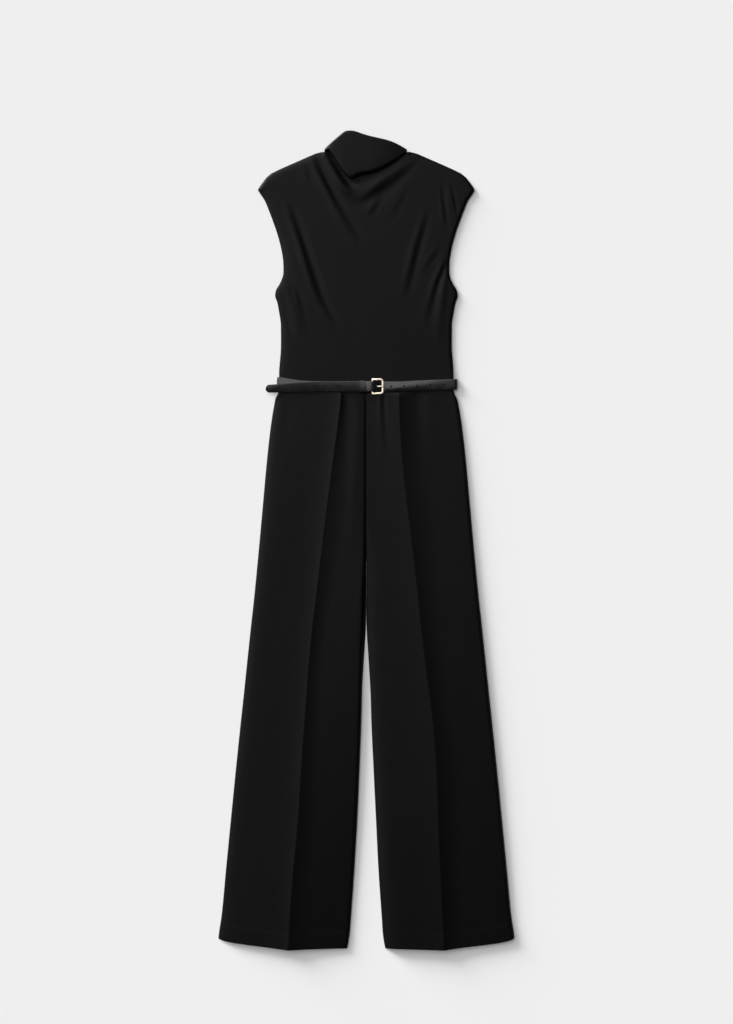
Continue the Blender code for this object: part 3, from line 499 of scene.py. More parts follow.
def front_under(form, folds, x, y, room):
    """Underside of the front: the belt presses its folds down, and it meets the back's edge."""
    from_belt = np.abs(y - BELT_LINE - np.interp(x, HELD["x"], HELD["shift"]))
    held = np.maximum(form - back_under(y), BELT_LIFT) + folds * fade(from_belt, *FOLD_BAND)
    wall = cloth_settings().wall / MM
    drop = (BACK_LEVEL - wall) * np.exp(-((np.maximum(room, 0) / JOINED_EDGE) ** 2))
    return back_under(y) + BACK_LEVEL + SEAM_GAP - drop + np.maximum(held, 0)


def from_edge(room, reach):
    """0 at an edge, 1 well inside it, and steepest at the edge."""
    return 1 - np.exp(-np.maximum(room, 0) / reach)


def bodice_rooms(x, y):
    """Distances from the left edge, the right edge and the shoulder."""
    side = curve(BODICE_SIDE, "height", "half_width", y)
    left, right = (np.where(y > SHOULDER_TIP, np.inf, room) for room in (side + x, side - x))
    line = np.interp(np.abs(x), SHOULDER["half_width"][::-1], SHOULDER["front"][::-1])
    shoulder = np.where(np.abs(x) > NECK_HALF, (line - y) * SHOULDER_SLOPE, np.inf)
    return left, right, shoulder


def bodice_height(x, y):
    """Underside of the front bodice, with its folds and the draped roll at the neck."""
    depth = cloth_settings().fold_depth
    left, right, shoulder = bodice_rooms(x, y)
    folds = folds_height(HOLLOW, x, y) + unevenness(x, y, "bodice")
    folds += depth * folds_height(FRONT_BODICE_FOLDS, x, y)
    folds += depth * flanks_height(FRONT_BODICE_FLANKS, x, y)
    held = from_edge(left, LIT_EDGE) * from_edge(right, SHADED_EDGE) * from_edge(shoulder, SHOULDER_EDGE)
    folds = np.clip(folds, -BODICE_LIFT, MOST_BODICE_LIFT) * held
    return front_under(BODICE_LIFT * held, folds, x, y, np.minimum(np.minimum(left, right), shoulder))


def leg_height(x, y, side):
    """Underside of a front leg: a low roof with a pressed crease along it, folds and a hem."""
    settings = cloth_settings()
    away = np.abs(x)
    inner, crease, outer, flank = (curve(LEG, "height", name, y)
                                   for name in ("inner_" + side, "crease_" + side, "outer", "flank_" + side))
    rises = [curve(LEG_RISE, "height", side + "_" + name, y) for name in ("outer", "crease", "inner")]
    up_outside = np.clip((outer - away) / (outer - crease), 0, 1)
    up_inside = np.clip((away - inner) / (crease - inner), 0, 1)
    roof = np.where(away > crease, rises[0] + (rises[1] - rises[0]) * up_outside,
                    rises[2] + (rises[1] - rises[2]) * up_inside)
    past = (away - crease) * (1 if side == "right" else -1)
    shaded = (1 - np.clip(past / (FLANK_REACH * flank), 0, 1)) ** 2
    ridge = np.where(past > 0, shaded, np.exp(np.minimum(past, 0) / LIT_CREASE[side]))
    folds = CREASE_STRENGTH[side] * settings.crease_lift / MM * ridge + folds_height(FRONT_LEG_FOLDS[side], x, y)
    folds += flanks_height(FRONT_LEG_FLANKS[side], x, y) + unevenness(x, y, side)
    opened = fade(y, CROTCH + SEAM_OPENS, CROTCH - SEAM_OPENS)
    if side == "left":
        reach = SEAM_EDGE * (1 - opened) + SHADED_EDGE * opened
        drop = SEAM_DROP * (1 - opened) + opened
        edges = from_edge(outer - away, LIT_EDGE) * (1 - drop * np.exp(-np.maximum(away - inner, 0) / reach))
    else:
        edges = from_edge(outer - away, SHADED_EDGE) * (1 - opened * np.exp(-(away - inner) / LIT_EDGE))
    hem = settings.hem_turn / MM + hem_edge(x, side)
    turned = HEM_STEP * (1 - fade(y, hem - HEM_STEP_REACH, hem + HEM_STEP_REACH))
    room = np.where(y > CROTCH + SEAM_OPENS, outer - away, np.minimum(outer - away, away - inner))
    return front_under(roof * edges, folds * edges, x, y, room) + turned


def hem_edge(x, side):
    """How far a hem's edge rises from its lowest point, which is at the crease."""
    inner, crease, outer = (float(LEG[name][0]) for name in ("inner_" + side, "crease_" + side, "outer"))
    out_share = np.clip((np.abs(x) - crease) / (outer - crease), 0, 1)
    in_share = np.clip((crease - np.abs(x)) / (crease - inner), 0, 1)
    corner = HEM_CORNER_ROUND * out_share**HEM_CORNER_POWER
    return HEM_LIFT_OUTER * out_share + corner + HEM_LIFT_INNER * in_share


# Making pieces --------------------------------------------------------------------------------

SHARP_ANGLE = np.radians(50)
PICK_MODES = {"polygons": "FACE", "edges": "EDGE", "vertices": "VERT"}


def deselect_all():
    for obj in bpy.context.selected_objects:
        obj.select_set(False)


def name_new(name):
    """The object that was just added, under its name."""
    obj = bpy.context.object
    obj.name = obj.data.name = name
    return obj


def apply_transform():
    """Applies the active object's place, turn and size to its mesh."""
    bpy.ops.object.transform_apply(location=True, rotation=True, scale=True)


def make_active(obj):
    """Only this object is selected, and it is the active one."""
    deselect_all()
    obj.select_set(True)
    bpy.context.view_layer.objects.active = obj


def new_grid(name, columns, rows):
    """A flat grid one unit each way, whose x and y are shares across and along a piece."""
    deselect_all()
    bpy.ops.mesh.primitive_grid_add(x_subdivisions=columns, y_subdivisions=rows, size=1)
    return name_new(name)


def shares_of(obj):
    """The grid's shares across and along, from 0 to 1."""
    points = np.empty(3 * len(obj.data.vertices))
    obj.data.vertices.foreach_get("co", points)
    across, along = points.reshape(-1, 3)[:, :2].T + 0.5
    return np.clip(across, 0, 1), np.clip(along, 0, 1)


def place(obj, x, y, z):
    """Moves the grid's points, given in millimetres from the hems, to their place in the frame."""
    points = np.stack([x, y - HALF_LENGTH, z], -1) * MM
    obj.data.vertices.foreach_set("co", points.ravel())
    obj.data.update()


def lay_out(obj, width, length):
    """Gives the piece its flat cut as a UV map in metres, so that the weave follows the cloth."""
    layer = obj.data.uv_layers.active
    layer.name = "cut"
    corners = np.empty(len(obj.data.loops), np.int32)
    obj.data.loops.foreach_get("vertex_index", corners)
    flat = np.stack([width, length], -1)[corners] * MM
    layer.data.foreach_set("uv", flat.ravel().astype(np.float32))


def finish_with(obj, kind, **settings):
    """Adds one modifier with these settings and applies it."""
    make_active(obj)
    bpy.ops.object.modifier_add(type=kind)
    modifier = obj.modifiers[-1]
    for name, value in settings.items():
        setattr(modifier, name, value)
    bpy.ops.object.modifier_apply(modifier=modifier.name)


def give_wall(obj, wall, offset, edge, steps=2):
    """Turns a sheet into a wall with its edges softened."""
    finish_with(obj, "SOLIDIFY", thickness=wall, offset=offset, use_even_offset=True)
    finish_with(obj, "BEVEL", width=edge, segments=steps, limit_method="ANGLE", angle_limit=SHARP_ANGLE)


@contextmanager
def picked(obj, parts, choose):
    """Edit mode with the polygons, edges or vertices of a piece that `choose` picks."""
    make_active(obj)
    bpy.ops.object.mode_set(mode="EDIT")
    bpy.ops.mesh.select_mode(type=PICK_MODES[parts])
    bpy.ops.mesh.select_all(action="DESELECT")
    bpy.ops.object.mode_set(mode="OBJECT")
    for part in getattr(obj.data, parts):
        part.select = choose(part)
    bpy.ops.object.mode_set(mode="EDIT")
    yield
    bpy.ops.object.mode_set(mode="OBJECT")


def dress(obj, surface, slot, *nodes, smooth=50):
    """Smooth shading up to an angle, a material, and the piece's ties to the model."""
    if not obj.data.polygons:
        raise RuntimeError(f"{obj.name} has no faces")
    obj.data.materials.clear()
    obj.data.materials.append(material(surface))
    make_active(obj)
    bpy.ops.object.shade_smooth_by_angle(angle=np.radians(smooth))
    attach(obj, "root")
    if nodes:
        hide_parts(*nodes)
    deselect_all()


# Materials ------------------------------------------------------------------------------------


class Surface:
    """A node material in the making. A node given as an input stands for its first output."""

    def __init__(self, name, looks):
        self.material = bpy.data.materials.new(name)
        self.material.use_nodes = True
        self.nodes, self.links = self.material.node_tree.nodes, self.material.node_tree.links
        self.shader = self.nodes["Principled BSDF"]
        self.give(self.shader, looks)

    def give(self, node, inputs):
        """Sets a node's inputs, or links them."""
        for key, value in inputs.items():
            if isinstance(value, bpy.types.Node):
                value = value.outputs[0]
            if isinstance(value, bpy.types.NodeSocket):
                self.links.new(value, node.inputs[key])
            else:
                node.inputs[key].default_value = value

    def add(self, kind, inputs, **settings):
        """Adds a node."""
        node = self.nodes.new("ShaderNode" + kind)
        for key, value in settings.items():
            setattr(node, key, value)
        self.give(node, inputs)
        return node

    def place(self):
        """Where a point lies in the frame."""
        return self.add("TexCoord", {}).outputs["Object"]

    def noise(self, where, scale, detail, roughness=0.5):
        """Cloudy noise."""
        return self.add("TexNoise", {"Vector": where, "Scale": scale, "Detail": detail, "Roughness": roughness})

    def spread(self, value, reach, low, high):
        """Stretches the values within reach over those from low to high."""
        return self.add("MapRange", {"Value": value, 1: reach[0], 2: reach[1], 3: low, 4: high})

    def tint(self, colour, noise, low, high):
        """Colours the surface, made darker and lighter by the noise."""
        shade = self.spread(noise, NOISE_REACH, low, high)
        tinted = self.add("VectorMath", {0: colour[:], "Scale": shade}, operation="SCALE")
        self.give(self.shader, {"Base Color": tinted})

    def roughen(self, value, reach, low, high):
        """Changes the surface's roughness with a value."""
        self.give(self.shader, {"Roughness": self.spread(value, reach, low, high)})

    def bump(self, height, strength, distance):
        """Gives the surface a fine relief."""
        relief = self.add("Bump", {"Height": height, "Strength": strength, "Distance": distance})
        self.give(self.shader, {"Normal": relief})


NOISE_REACH = (0.3, 0.7)


def material(make):
    """The material that this function makes and that has its name, made when it is first needed."""
    name = make.__name__.replace("_", " ")
    return bpy.data.materials.get(name) or make(name)


def black_crepe(name):
    """A fine plain weave of twisted threads, with a pebbled face and a little nap."""
    settings = cloth_settings()
    crepe = Surface(name, {"Sheen Weight": settings.sheen, "Sheen Roughness": 0.4,
                           "Specular IOR Level": settings.shine})
    cut = crepe.add("UVMap", {}, uv_map="cut")
    pebble = crepe.noise(cut, scale=900.0, detail=3.0, roughness=0.6)
    shift = crepe.add("VectorMath", {0: pebble.outputs["Color"], 1: (0.5, 0.5, 0.5)}, operation="SUBTRACT")
    shift = crepe.add("VectorMath", {0: shift, "Scale": settings.thread}, operation="SCALE")
    bent = crepe.add("VectorMath", {0: cut, 1: shift}, operation="ADD")
    wave = {"Vector": bent, "Scale": 1 / settings.thread / 2 / np.pi, "Distortion": 0.4}
    warp, weft = (crepe.add("TexWave", wave, wave_type="BANDS", bands_direction=way).outputs["Fac"]
                  for way in "XY")
    weave = crepe.add("Math", {0: warp, 1: weft}, operation="MULTIPLY")
    grain = crepe.add("Math", {0: weave, 1: pebble}, operation="ADD")
    crepe.bump(grain, strength=0.35, distance=0.0001)
    crepe.tint(settings.colour, crepe.noise(cut, scale=60.0, detail=4.0), 0.92, 1.08)
    crepe.roughen(grain, (0.2, 1.4), settings.roughness + 0.08, settings.roughness - 0.06)
    return crepe.material


def black_leather(name):
    """Grained leather with a soft polish."""
    settings = belt_settings()
    leather = Surface(name, {"Specular IOR Level": 0.6})
    where = leather.place()
    cells = leather.add("TexVoronoi", {"Vector": where, "Scale": 1400.0}, feature="DISTANCE_TO_EDGE")
    fine = leather.noise(where, scale=2600.0, detail=3.0)
    worn = leather.noise(where, scale=90.0, detail=4.0, roughness=0.6)
    height = leather.add("Math", {0: leather.spread(cells, (0, 0.25), 0, 1), 1: fine}, operation="ADD")
    leather.bump(height, strength=0.12, distance=0.00008)
    leather.roughen(worn, NOISE_REACH, settings.leather_roughness - 0.05, settings.leather_roughness + 0.07)
    leather.tint(settings.leather, worn, 0.85, 1.2)
    return leather.material


def pale_gold(name):
    """Gold plating, with faint wear that changes its polish."""
    settings = belt_settings()
    gold = Surface(name, {"Base Color": (*settings.gold, 1), "Metallic": 1.0})
    worn = gold.noise(gold.place(), scale=500.0, detail=5.0, roughness=0.65)
    gold.roughen(worn, (0.35, 0.7), settings.gold_roughness - 0.04, settings.gold_roughness + 0.08)
    gold.bump(worn, strength=0.05, distance=0.00005)
    return gold.material


def pale_floor(name):
    """A plain floor with the faintest mottle."""
    floor = Surface(name, {"Roughness": 1.0, "Specular IOR Level": 0.0})
    floor.tint(studio_settings().floor, floor.noise(floor.place(), scale=3.0, detail=2.0), 0.998, 1.002)
    return floor.material


# Bodice ---------------------------------------------------------------------------------------

BODICE_COLUMNS = 136
BODICE_ROWS = 150
BACK_COLUMNS = 48
BACK_ROWS = 90
CROWDING = 0.55
FRONT_CROWDING = 0.35


def crowd_ends(share, amount=CROWDING):
    """Moves shares towards both ends, so that a sheet's edges get finer faces."""
    return share - amount * np.sin(2 * np.pi * share) / (2 * np.pi)


def bodice_plan(across, up, top):
    """x and y of half a bodice: across runs from the side to the middle, up from waist to top."""
    side_y = WAIST + HALF_GAP + up * (SHOULDER_TIP - WAIST - HALF_GAP)
    side_x = curve(BODICE_SIDE, "height", "half_width", side_y)
    top_x = np.interp(across, SHOULDER["across"], SHOULDER["half_width"])
    top_y = np.interp(across, SHOULDER["across"], SHOULDER[top])
    waist_x, waist_y = BODICE_SIDE["half_width"][0], WAIST + HALF_GAP
    tip_x, tip_y = SHOULDER["half_width"][0], SHOULDER[top][0]
    middle_y = waist_y + up * (SHOULDER[top][-1] - waist_y)
    x = (1 - across) * side_x + (1 - up) * (1 - across) * waist_x + up * top_x
    x = x - (1 - across) * ((1 - up) * waist_x + up * tip_x)
    y = (1 - across) * side_y + across * middle_y + (1 - up) * waist_y + up * top_y
    y = y - (1 - across) * ((1 - up) * waist_y + up * tip_y)
    y = y - across * ((1 - up) * waist_y + up * SHOULDER[top][-1])
    return x, y


def lay_panel(name, columns, rows, plan, under, node):
    """One cut panel of crepe: a grid placed by plan, raised by under, given its wall and declared."""
    wall = cloth_settings().wall
    sheet = new_grid(name, columns, rows)
    across, up = shares_of(sheet)
    x, y = plan(across, up)
    place(sheet, x, y, under(x, y))
    lay_out(sheet, x, y)
    give_wall(sheet, wall, 1, wall / 3)
    dress(sheet, black_crepe, "crepe", node)
    return sheet


class FrontBodice(bpy.types.Operator):
    """Lays the front bodice, with its soft folds and the draped roll at the neck."""

    bl_idname = "jumpsuit.front_bodice"
    bl_label = "Front bodice"

    def execute(self, context):
        def plan(across, up):
            half = crowd_ends(1 - np.abs(2 * across - 1), FRONT_CROWDING)
            x, y = bodice_plan(half, up, "front")
            return np.where(across < 0.5, -x, x), y

        lay_panel("front_bodice", BODICE_COLUMNS, BODICE_ROWS, plan, bodice_height, "bodice_front")
        return {"FINISHED"}


class BackBodice(bpy.types.Operator):
    """Lays the two back bodice panels, which meet along the middle of the back."""

    bl_idname = "jumpsuit.back_bodice"
    bl_label = "Back bodice"

    def execute(self, context):
        for side, sign in SIDES:
            def plan(across, up, sign=sign):
                outwards = across if sign < 0 else 1 - across
                x, y = bodice_plan(crowd_ends(outwards), up, "back")
                return sign * np.maximum(x, HALF_GAP), y

            def under(x, y, side=side):
                folds = folds_height(BACK_BODICE_FOLDS[side], x, y)
                return back_under(y) + np.maximum(folds, 0)

            lay_panel("back_bodice_" + side, BACK_COLUMNS, BACK_ROWS, plan, under,
                      "bodice_back_" + side)
        return {"FINISHED"}


# Legs -----------------------------------------------------------------------------------------

LEG_COLUMNS = 84
LEG_ROWS = 300
CREASE_SHARE = 0.5
BACK_LEG_COLUMNS = 40
BACK_LEG_ROWS = 150
BACK_CREASE = 0.4
BACK_CREASE_REACH = 4
LEG_TOP = 1068.7
HEM_ROWS = table(
    "share height",
    (0, 0),
    (0.03, 6),
    (0.06, 28),
    (0.10, 40),
    (1, LEG_TOP),
)


def leg_plan(across, up, side, sign, inner_column):
    """x and y of a leg: across runs from left to right, up from the hem to the waist."""
    outwards = across if sign > 0 else 1 - across
    height = np.interp(up, HEM_ROWS["share"], HEM_ROWS["height"])
    inside = crowd_ends(np.clip(outwards / CREASE_SHARE, 0, 1))
    outside = crowd_ends(np.clip((outwards - CREASE_SHARE) / (1 - CREASE_SHARE), 0, 1))

    def away_at(y):
        inner, crease, outer = (curve(LEG, "height", name, y)
                                for name in (inner_column, "crease_" + side, "outer"))
        return inner + (crease - inner) * inside + (outer - crease) * outside

    hem = hem_edge(away_at(np.zeros_like(height)), side)
    y = height + hem * (1 - fade(height, 0, HEM_FADE))
    return sign * away_at(y), y


class FrontLegs(bpy.types.Operator):
    """Lays the two front legs, each with its pressed crease and turned hem."""

    bl_idname = "jumpsuit.front_legs"
    bl_label = "Front legs"

    def execute(self, context):
        for side, sign in SIDES:
            def plan(across, up, side=side, sign=sign):
                x, y = leg_plan(across, up, side, sign, "inner_" + side)
                return x, y + HEM_DRAW * (1 - fade(y, 0, HEM_FADE))

            def under(x, y, side=side):
                return leg_height(x, y, side)

            lay_panel("front_leg_" + side, LEG_COLUMNS, LEG_ROWS, plan, under, "leg_front_" + side)
        return {"FINISHED"}


class BackLegs(bpy.types.Operator):
    """Lays the two back legs on the floor, each with a faint pressed crease."""

    bl_idname = "jumpsuit.back_legs"
    bl_label = "Back legs"

    def execute(self, context):
        for side, sign in SIDES:
            def plan(across, up, side=side, sign=sign):
                return leg_plan(across, up, side, sign, "inner_back")

            def under(x, y, side=side):
                away = np.abs(x) - curve(LEG, "height", "crease_" + side, y)
                crease = BACK_CREASE * np.exp(-np.abs(away) / BACK_CREASE_REACH)
                folds = folds_height(BACK_LEG_FOLDS[side], x, y)
                return back_under(y) + np.maximum(folds + crease, 0)

            lay_panel("back_leg_" + side, BACK_LEG_COLUMNS, BACK_LEG_ROWS, plan, under,
                      "leg_back_" + side)
        return {"FINISHED"}


# Collar ---------------------------------------------------------------------------------------

COLLAR_COLUMNS = 170
COLLAR_ROWS = 130
FLAP_BULGE = 0.5
STAND_LEVEL = 0.8
STAND_POINTS = 10
FOLD_POINTS = 25
FLAP_POINTS = 60
FLAP_EASE = 1.5
TURNED_ARC = (70, -60, 8)


def collar_section(x):
    """The collar cut across at x, as (y, z): back stand, top fold, flap and the flap's turned edge."""
    top, low, crest, edge, turn, roll, lip = (float(curve(COLLAR, "x", name, x)) for name in list(COLLAR)[1:])
    seam = float(np.interp(abs(x), SHOULDER["half_width"][::-1], SHOULDER["back"][::-1])) + SEAM_GAP
    fold_y = top - STAND_LEVEL - turn
    middle = (crest + STAND_LEVEL) / 2
    stand_y = np.linspace(seam, fold_y, STAND_POINTS, endpoint=False)
    stand = np.stack([stand_y, np.full(STAND_POINTS, STAND_LEVEL)], -1)
    angle = np.radians(np.linspace(-90, 90, FOLD_POINTS))
    fold = np.stack([fold_y + turn * np.cos(angle), middle + (middle - STAND_LEVEL) * np.sin(angle)], -1)
    share = np.linspace(0, 1, FLAP_POINTS)[1:]
    flap_y = fold_y + (low + lip - fold_y) * (1 - (1 - share) ** FLAP_EASE)
    inwards = np.clip((flap_y - low - lip) / roll, 0, 1)
    down = edge + (crest - edge) * np.sqrt(1 - (1 - inwards) ** 2)
    flap = np.stack([flap_y, down + FLAP_BULGE * np.sin(np.pi * share)], -1)
    angle = np.radians(np.linspace(*TURNED_ARC))
    turned = np.stack([low + lip - lip * np.cos(angle), edge - lip + lip * np.sin(angle)], -1)
    line = np.concatenate([stand, fold, flap, turned])
    run = np.concatenate([[0], np.cumsum(np.linalg.norm(np.diff(line, axis=0), axis=1))])
    return line, run


class Collar(bpy.types.Operator):
    """Folds the funnel collar over at its top and lays its flap on the front."""

    bl_idname = "jumpsuit.collar"
    bl_label = "Funnel collar"

    def execute(self, context):
        sheet = new_grid("funnel_collar_cloth", COLLAR_COLUMNS, COLLAR_ROWS)
        across, along = shares_of(sheet)
        x = COLLAR["x"][-1] + (COLLAR["x"][0] - COLLAR["x"][-1]) * across
        y, z, flat = np.empty_like(x), np.empty_like(x), np.empty_like(x)
        for here in np.unique(x):
            line, run = collar_section(here)
            column = x == here
            flat[column] = along[column] * run[-1]
            y[column] = np.interp(flat[column], run, line[:, 0])
            z[column] = np.interp(flat[column], run, line[:, 1])
        place(sheet, x, y, z)
        lay_out(sheet, x, flat)
        wall = cloth_settings().wall
        give_wall(sheet, wall, 0, wall / 3)
        dress(sheet, black_crepe, "crepe", "funnel_collar")
        return {"FINISHED"}


# Belt -----------------------------------------------------------------------------------------

STRAP_STEP = 1.5
STRAP_COLUMNS = 12
STRAP = 1.5
BELT_Z = 6.85
LAYER = STRAP + SEAM_GAP
FREE_Z = BELT_Z + LAYER
KEEPER_WALL = 1.1
KEEPER_Z = BELT_Z + KEEPER_WALL + SEAM_GAP
HINGE_X = 11.6
HINGE_WIRE = 2.2
HINGE_Z = BELT_Z + STRAP / 2 + SEAM_GAP + HINGE_WIRE / 2
WRAP_REACH = HINGE_WIRE / 2 + SEAM_GAP + STRAP / 2
WRAP_TOP = HINGE_Z + WRAP_REACH
OUTER_BAR_X = 31.8
CLIMB_X = -80.0
BACK_Z = STRAP / 2
BEND_Z = (BELT_Z + BACK_Z) / 2
BEND_REACH = 3.4
BEND_LEFT = -165.2
BEND_RIGHT = 169.0
TIP_X = -190.4
TIP_ROUND = 7.5
TIP_POINT = 0.985
STRAP_CROWDING = 0.4
STRAP_EDGE = 0.35
CROWN_LEVEL = 0.4
TILT_CROWN = 1.4
TILT_LIFT = 1.3
# Slots for the prong's ring and its arm: from and to in x, then in z.
SLOTS = (
    (8.4, 14.95, BELT_Z - STRAP, WRAP_TOP + STRAP / 2 + 0.15),
    (20.4, 24.9, BELT_Z + STRAP / 2 + 0.2, WRAP_TOP + LAYER + STRAP),
)
SLOT_HALF_WIDTH = 1.9
FIRST_HOLE_X = 47.0
HOLE_SPACING = 25.0
HOLE_COUNT = 5
HOLE_SIDES = 28
HOLE_DEPTH = 6 * STRAP
KEEPER_CORNER = 1.3
KEEPER_CORNER_STEPS = 5
KEEPER_EDGE = 0.25
# By stretch, how the strap lies up or down the garment from the belt line, its width, and how far its
# upper edge dips.
FREE_END = table(
    "x shift width tilt",
    (-190.4, -4, 14.8, -0.6),
    (-176, -3.8, 15.3, -0.9),
    (-163, -3.4, 15.9, -0.9),
    (-120, -0.5, 18.6, -0.8),
    (-80, 0, 19.2, -0.8),
    (-60, 0, 19.5, -0.8),
    (-13, 0, 19.5, -0.6),
    (-1.4, 0, 19.5, -0.9),
    (8.6, 0, 19.5, -0.9),
    (20, 0, 19.5, -0.4),
    (34, 0, 19.5, 0.7),
    (60, 0, 19.5, 1.4),
    (88, 1.2, 19.4, 1.2),
    (112, 2.2, 19.3, 0.3),
    (134, 3.1, 19.2, -0.2),
    (150, 3.8, 19.1, -0.1),
    (169, 4.6, 19, 0),
    (175, 4.6, 19, 0),
)
FIXED_END = table(
    "x shift width tilt",
    (-170, 9, 19.5, 0.4),
    (-163, 8.6, 19.5, 1),
    (-140, 4.5, 19.5, 1),
    (-118, 0.5, 19.5, 0.6),
    (-90, 0, 19.5, 0),
    (40, 0, 19.5, 0),
)
BACK_RUN = table(
    "x shift width tilt",
    (-170, 9, 19.5, 0),
    (175, 4.6, 19, 0),
)


def arc(centre, reach, start, end, count):
    """Points along an ellipse's arc between two angles in degrees."""
    angles = np.radians(np.linspace(start, end, count))
    return [(centre[0] + reach[0] * np.cos(a), centre[1] + reach[1] * np.sin(a)) for a in angles]


def level(z, *xs):
    """Points at one height."""
    return [(x, z) for x in xs]


def belt_route():
    """Middle line of the strap as (x, z) in three stretches: free end, back run and fixed end."""
    bend = BEND_REACH, BELT_Z - BEND_Z
    free = [(TIP_X, FREE_Z - 1.4), (-183.0, FREE_Z - 1), (-176.0, FREE_Z - 0.6)]
    free += level(FREE_Z, -165.0, -120.0, CLIMB_X) + level(KEEPER_Z + LAYER, -13.0, -1.4)
    free += level(WRAP_TOP + LAYER, 8.6, 14.2) + [(19.0, WRAP_TOP + LAYER - 0.7)]
    free += [(26.0, BELT_Z + 0.9), (28.6, BELT_Z + 0.1)]
    free += level(BELT_Z, 31.0, 38.0, 70.0, 110.0, 150.0) + arc((BEND_RIGHT, BEND_Z), bend, 90, 22.5, 4)
    back = arc((BEND_RIGHT, BEND_Z), bend, 0, -90, 5) + level(BACK_Z, 120.0, 60.0, 0.0, -60.0, -120.0)
    back += arc((BEND_LEFT, BEND_Z), bend, 270, 202.5, 4)
    fixed = arc((BEND_LEFT, BEND_Z), bend, 180, 90, 5) + level(BELT_Z, -140.0, -120.0, -80.0, -24.0)
    fixed += level(KEEPER_Z, -13.0, 0.6) + arc((HINGE_X, HINGE_Z), (WRAP_REACH, WRAP_REACH), 100, -90, 9)
    fixed += level(BELT_Z, 7.0, 4.6)
    return free, back, fixed


def strap_line():
    """The strap's middle as even steps: x, z, its shift up the garment, its width and its tilt."""
    points = []
    for stretch, data in zip(belt_route(), (FREE_END, BACK_RUN, FIXED_END)):
        for x, z in stretch:
            points.append((x, z, *(np.interp(x, data["x"], data[name]) for name in ("shift", "width", "tilt"))))
    line = rounded_line(points, 3)
    run = np.concatenate([[0], np.cumsum(np.hypot(*np.diff(line[:, :2], axis=0).T))])
    even = np.linspace(0, run[-1], int(run[-1] / STRAP_STEP) + 1)
    return np.stack([np.interp(even, run, column) for column in line.T], -1), even


def new_box(name, low, high):
    """A box between two corners in the frame, drawn out from a cube."""
    deselect_all()
    bpy.ops.mesh.primitive_cube_add(size=1, location=(low + high) / 2)
    box = name_new(name)
    box.scale = high - low
    return box


def cut_away(obj, cutter):
    """Takes a solid's shape out of a piece, and removes the solid."""
    finish_with(obj, "BOOLEAN", operation="DIFFERENCE", solver="EXACT", object=cutter)
    bpy.data.objects.remove(cutter)


def cut_box(obj, low, high):
    """Cuts a square slot out of a piece, between two corners in millimetres from the hems."""
    low, high = ((Vector(corner) - Vector((0, HALF_LENGTH, 0))) * MM for corner in (low, high))
    cut_away(obj, new_box("slot", low, high))


def punch(obj, x, y, z, radius):
    """Punches a round hole down through a piece at a place in millimetres from the hems."""
    deselect_all()
    where = (x * MM, (y - HALF_LENGTH) * MM, z * MM)
    bpy.ops.mesh.primitive_cylinder_add(
        vertices=HOLE_SIDES, radius=radius, depth=HOLE_DEPTH * MM, location=where)
    cut_away(obj, bpy.context.object)


class Strap(bpy.types.Operator):
    """Runs the leather strap from its free tip round the back to the buckle, and punches it."""

    bl_idname = "jumpsuit.strap"
    bl_label = "Belt strap"

    def execute(self, context):
        settings = belt_settings()
        line, run = strap_line()
        strap = new_grid("belt_strap_leather", len(run) - 1, STRAP_COLUMNS)
        along, across = shares_of(strap)
        side = crowd_ends(across, STRAP_CROWDING) * 2 - 1
        ahead = np.gradient(line[:, :2], axis=0)
        ahead = ahead / np.linalg.norm(ahead, axis=1, keepdims=True)
        station = np.clip(np.rint(along * (len(run) - 1)).astype(int), 0, len(run) - 1)
        x, z, shift, width, tilt = line[station].T
        tip = np.clip(1 - run[station] / TIP_ROUND, 0, 1)
        half = width / 2 * np.sqrt(1 - tip**2 * TIP_POINT)
        crown = (settings.crown / MM + TILT_CROWN * np.maximum(tilt, 0)) * (CROWN_LEVEL - side**2)
        x = x - ahead[station, 1] * crown
        z = z + ahead[station, 0] * crown + TILT_LIFT * np.maximum(tilt, 0) - tilt * side
        y = BELT_LINE + shift + side * half
        place(strap, x, y, z)
        lay_out(strap, run[station], side * half)
        give_wall(strap, settings.thickness - 2 * settings.crown / 3, 0, STRAP_EDGE * MM)
        low_y, high_y = BELT_LINE - SLOT_HALF_WIDTH, BELT_LINE + SLOT_HALF_WIDTH
        for low_x, high_x, low_z, high_z in SLOTS:
            cut_box(strap, (low_x, low_y, low_z), (high_x, high_y, high_z))
        for number in range(HOLE_COUNT):
            x = FIRST_HOLE_X + number * HOLE_SPACING
            up = float(np.interp(x, FREE_END["x"], FREE_END["shift"]))
            punch(strap, x, BELT_LINE + up, BELT_Z, settings.hole_radius)
        dress(strap, black_leather, "strap", "belt_strap")
        return {"FINISHED"}


class Keeper(bpy.types.Operator):
    """Wraps the narrow leather keeper round both layers of the strap."""

    bl_idname = "jumpsuit.keeper"
    bl_label = "Belt keeper"

    def execute(self, context):
        keeper = new_box("belt_keeper_leather", *(Vector(corner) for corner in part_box("belt_keeper")))
        apply_transform()
        with picked(keeper, "polygons", lambda face: abs(face.normal.x) > 0.9):
            bpy.ops.mesh.delete(type="FACE")
        with picked(keeper, "edges", lambda edge: self.runs_along(keeper.data.vertices, edge)):
            bpy.ops.mesh.bevel(offset=KEEPER_CORNER * MM, segments=KEEPER_CORNER_STEPS, affect="EDGES")
        give_wall(keeper, KEEPER_WALL * MM, -1, KEEPER_EDGE * MM)
        dress(keeper, black_leather, "strap", "belt_keeper", smooth=20)
        return {"FINISHED"}

    @staticmethod
    def runs_along(vertices, edge):
        """Whether an edge runs along the strap."""
        start, end = (vertices[i].co.x for i in edge.vertices)
        return abs(start - end) > MM


# Buckle ---------------------------------------------------------------------------------------

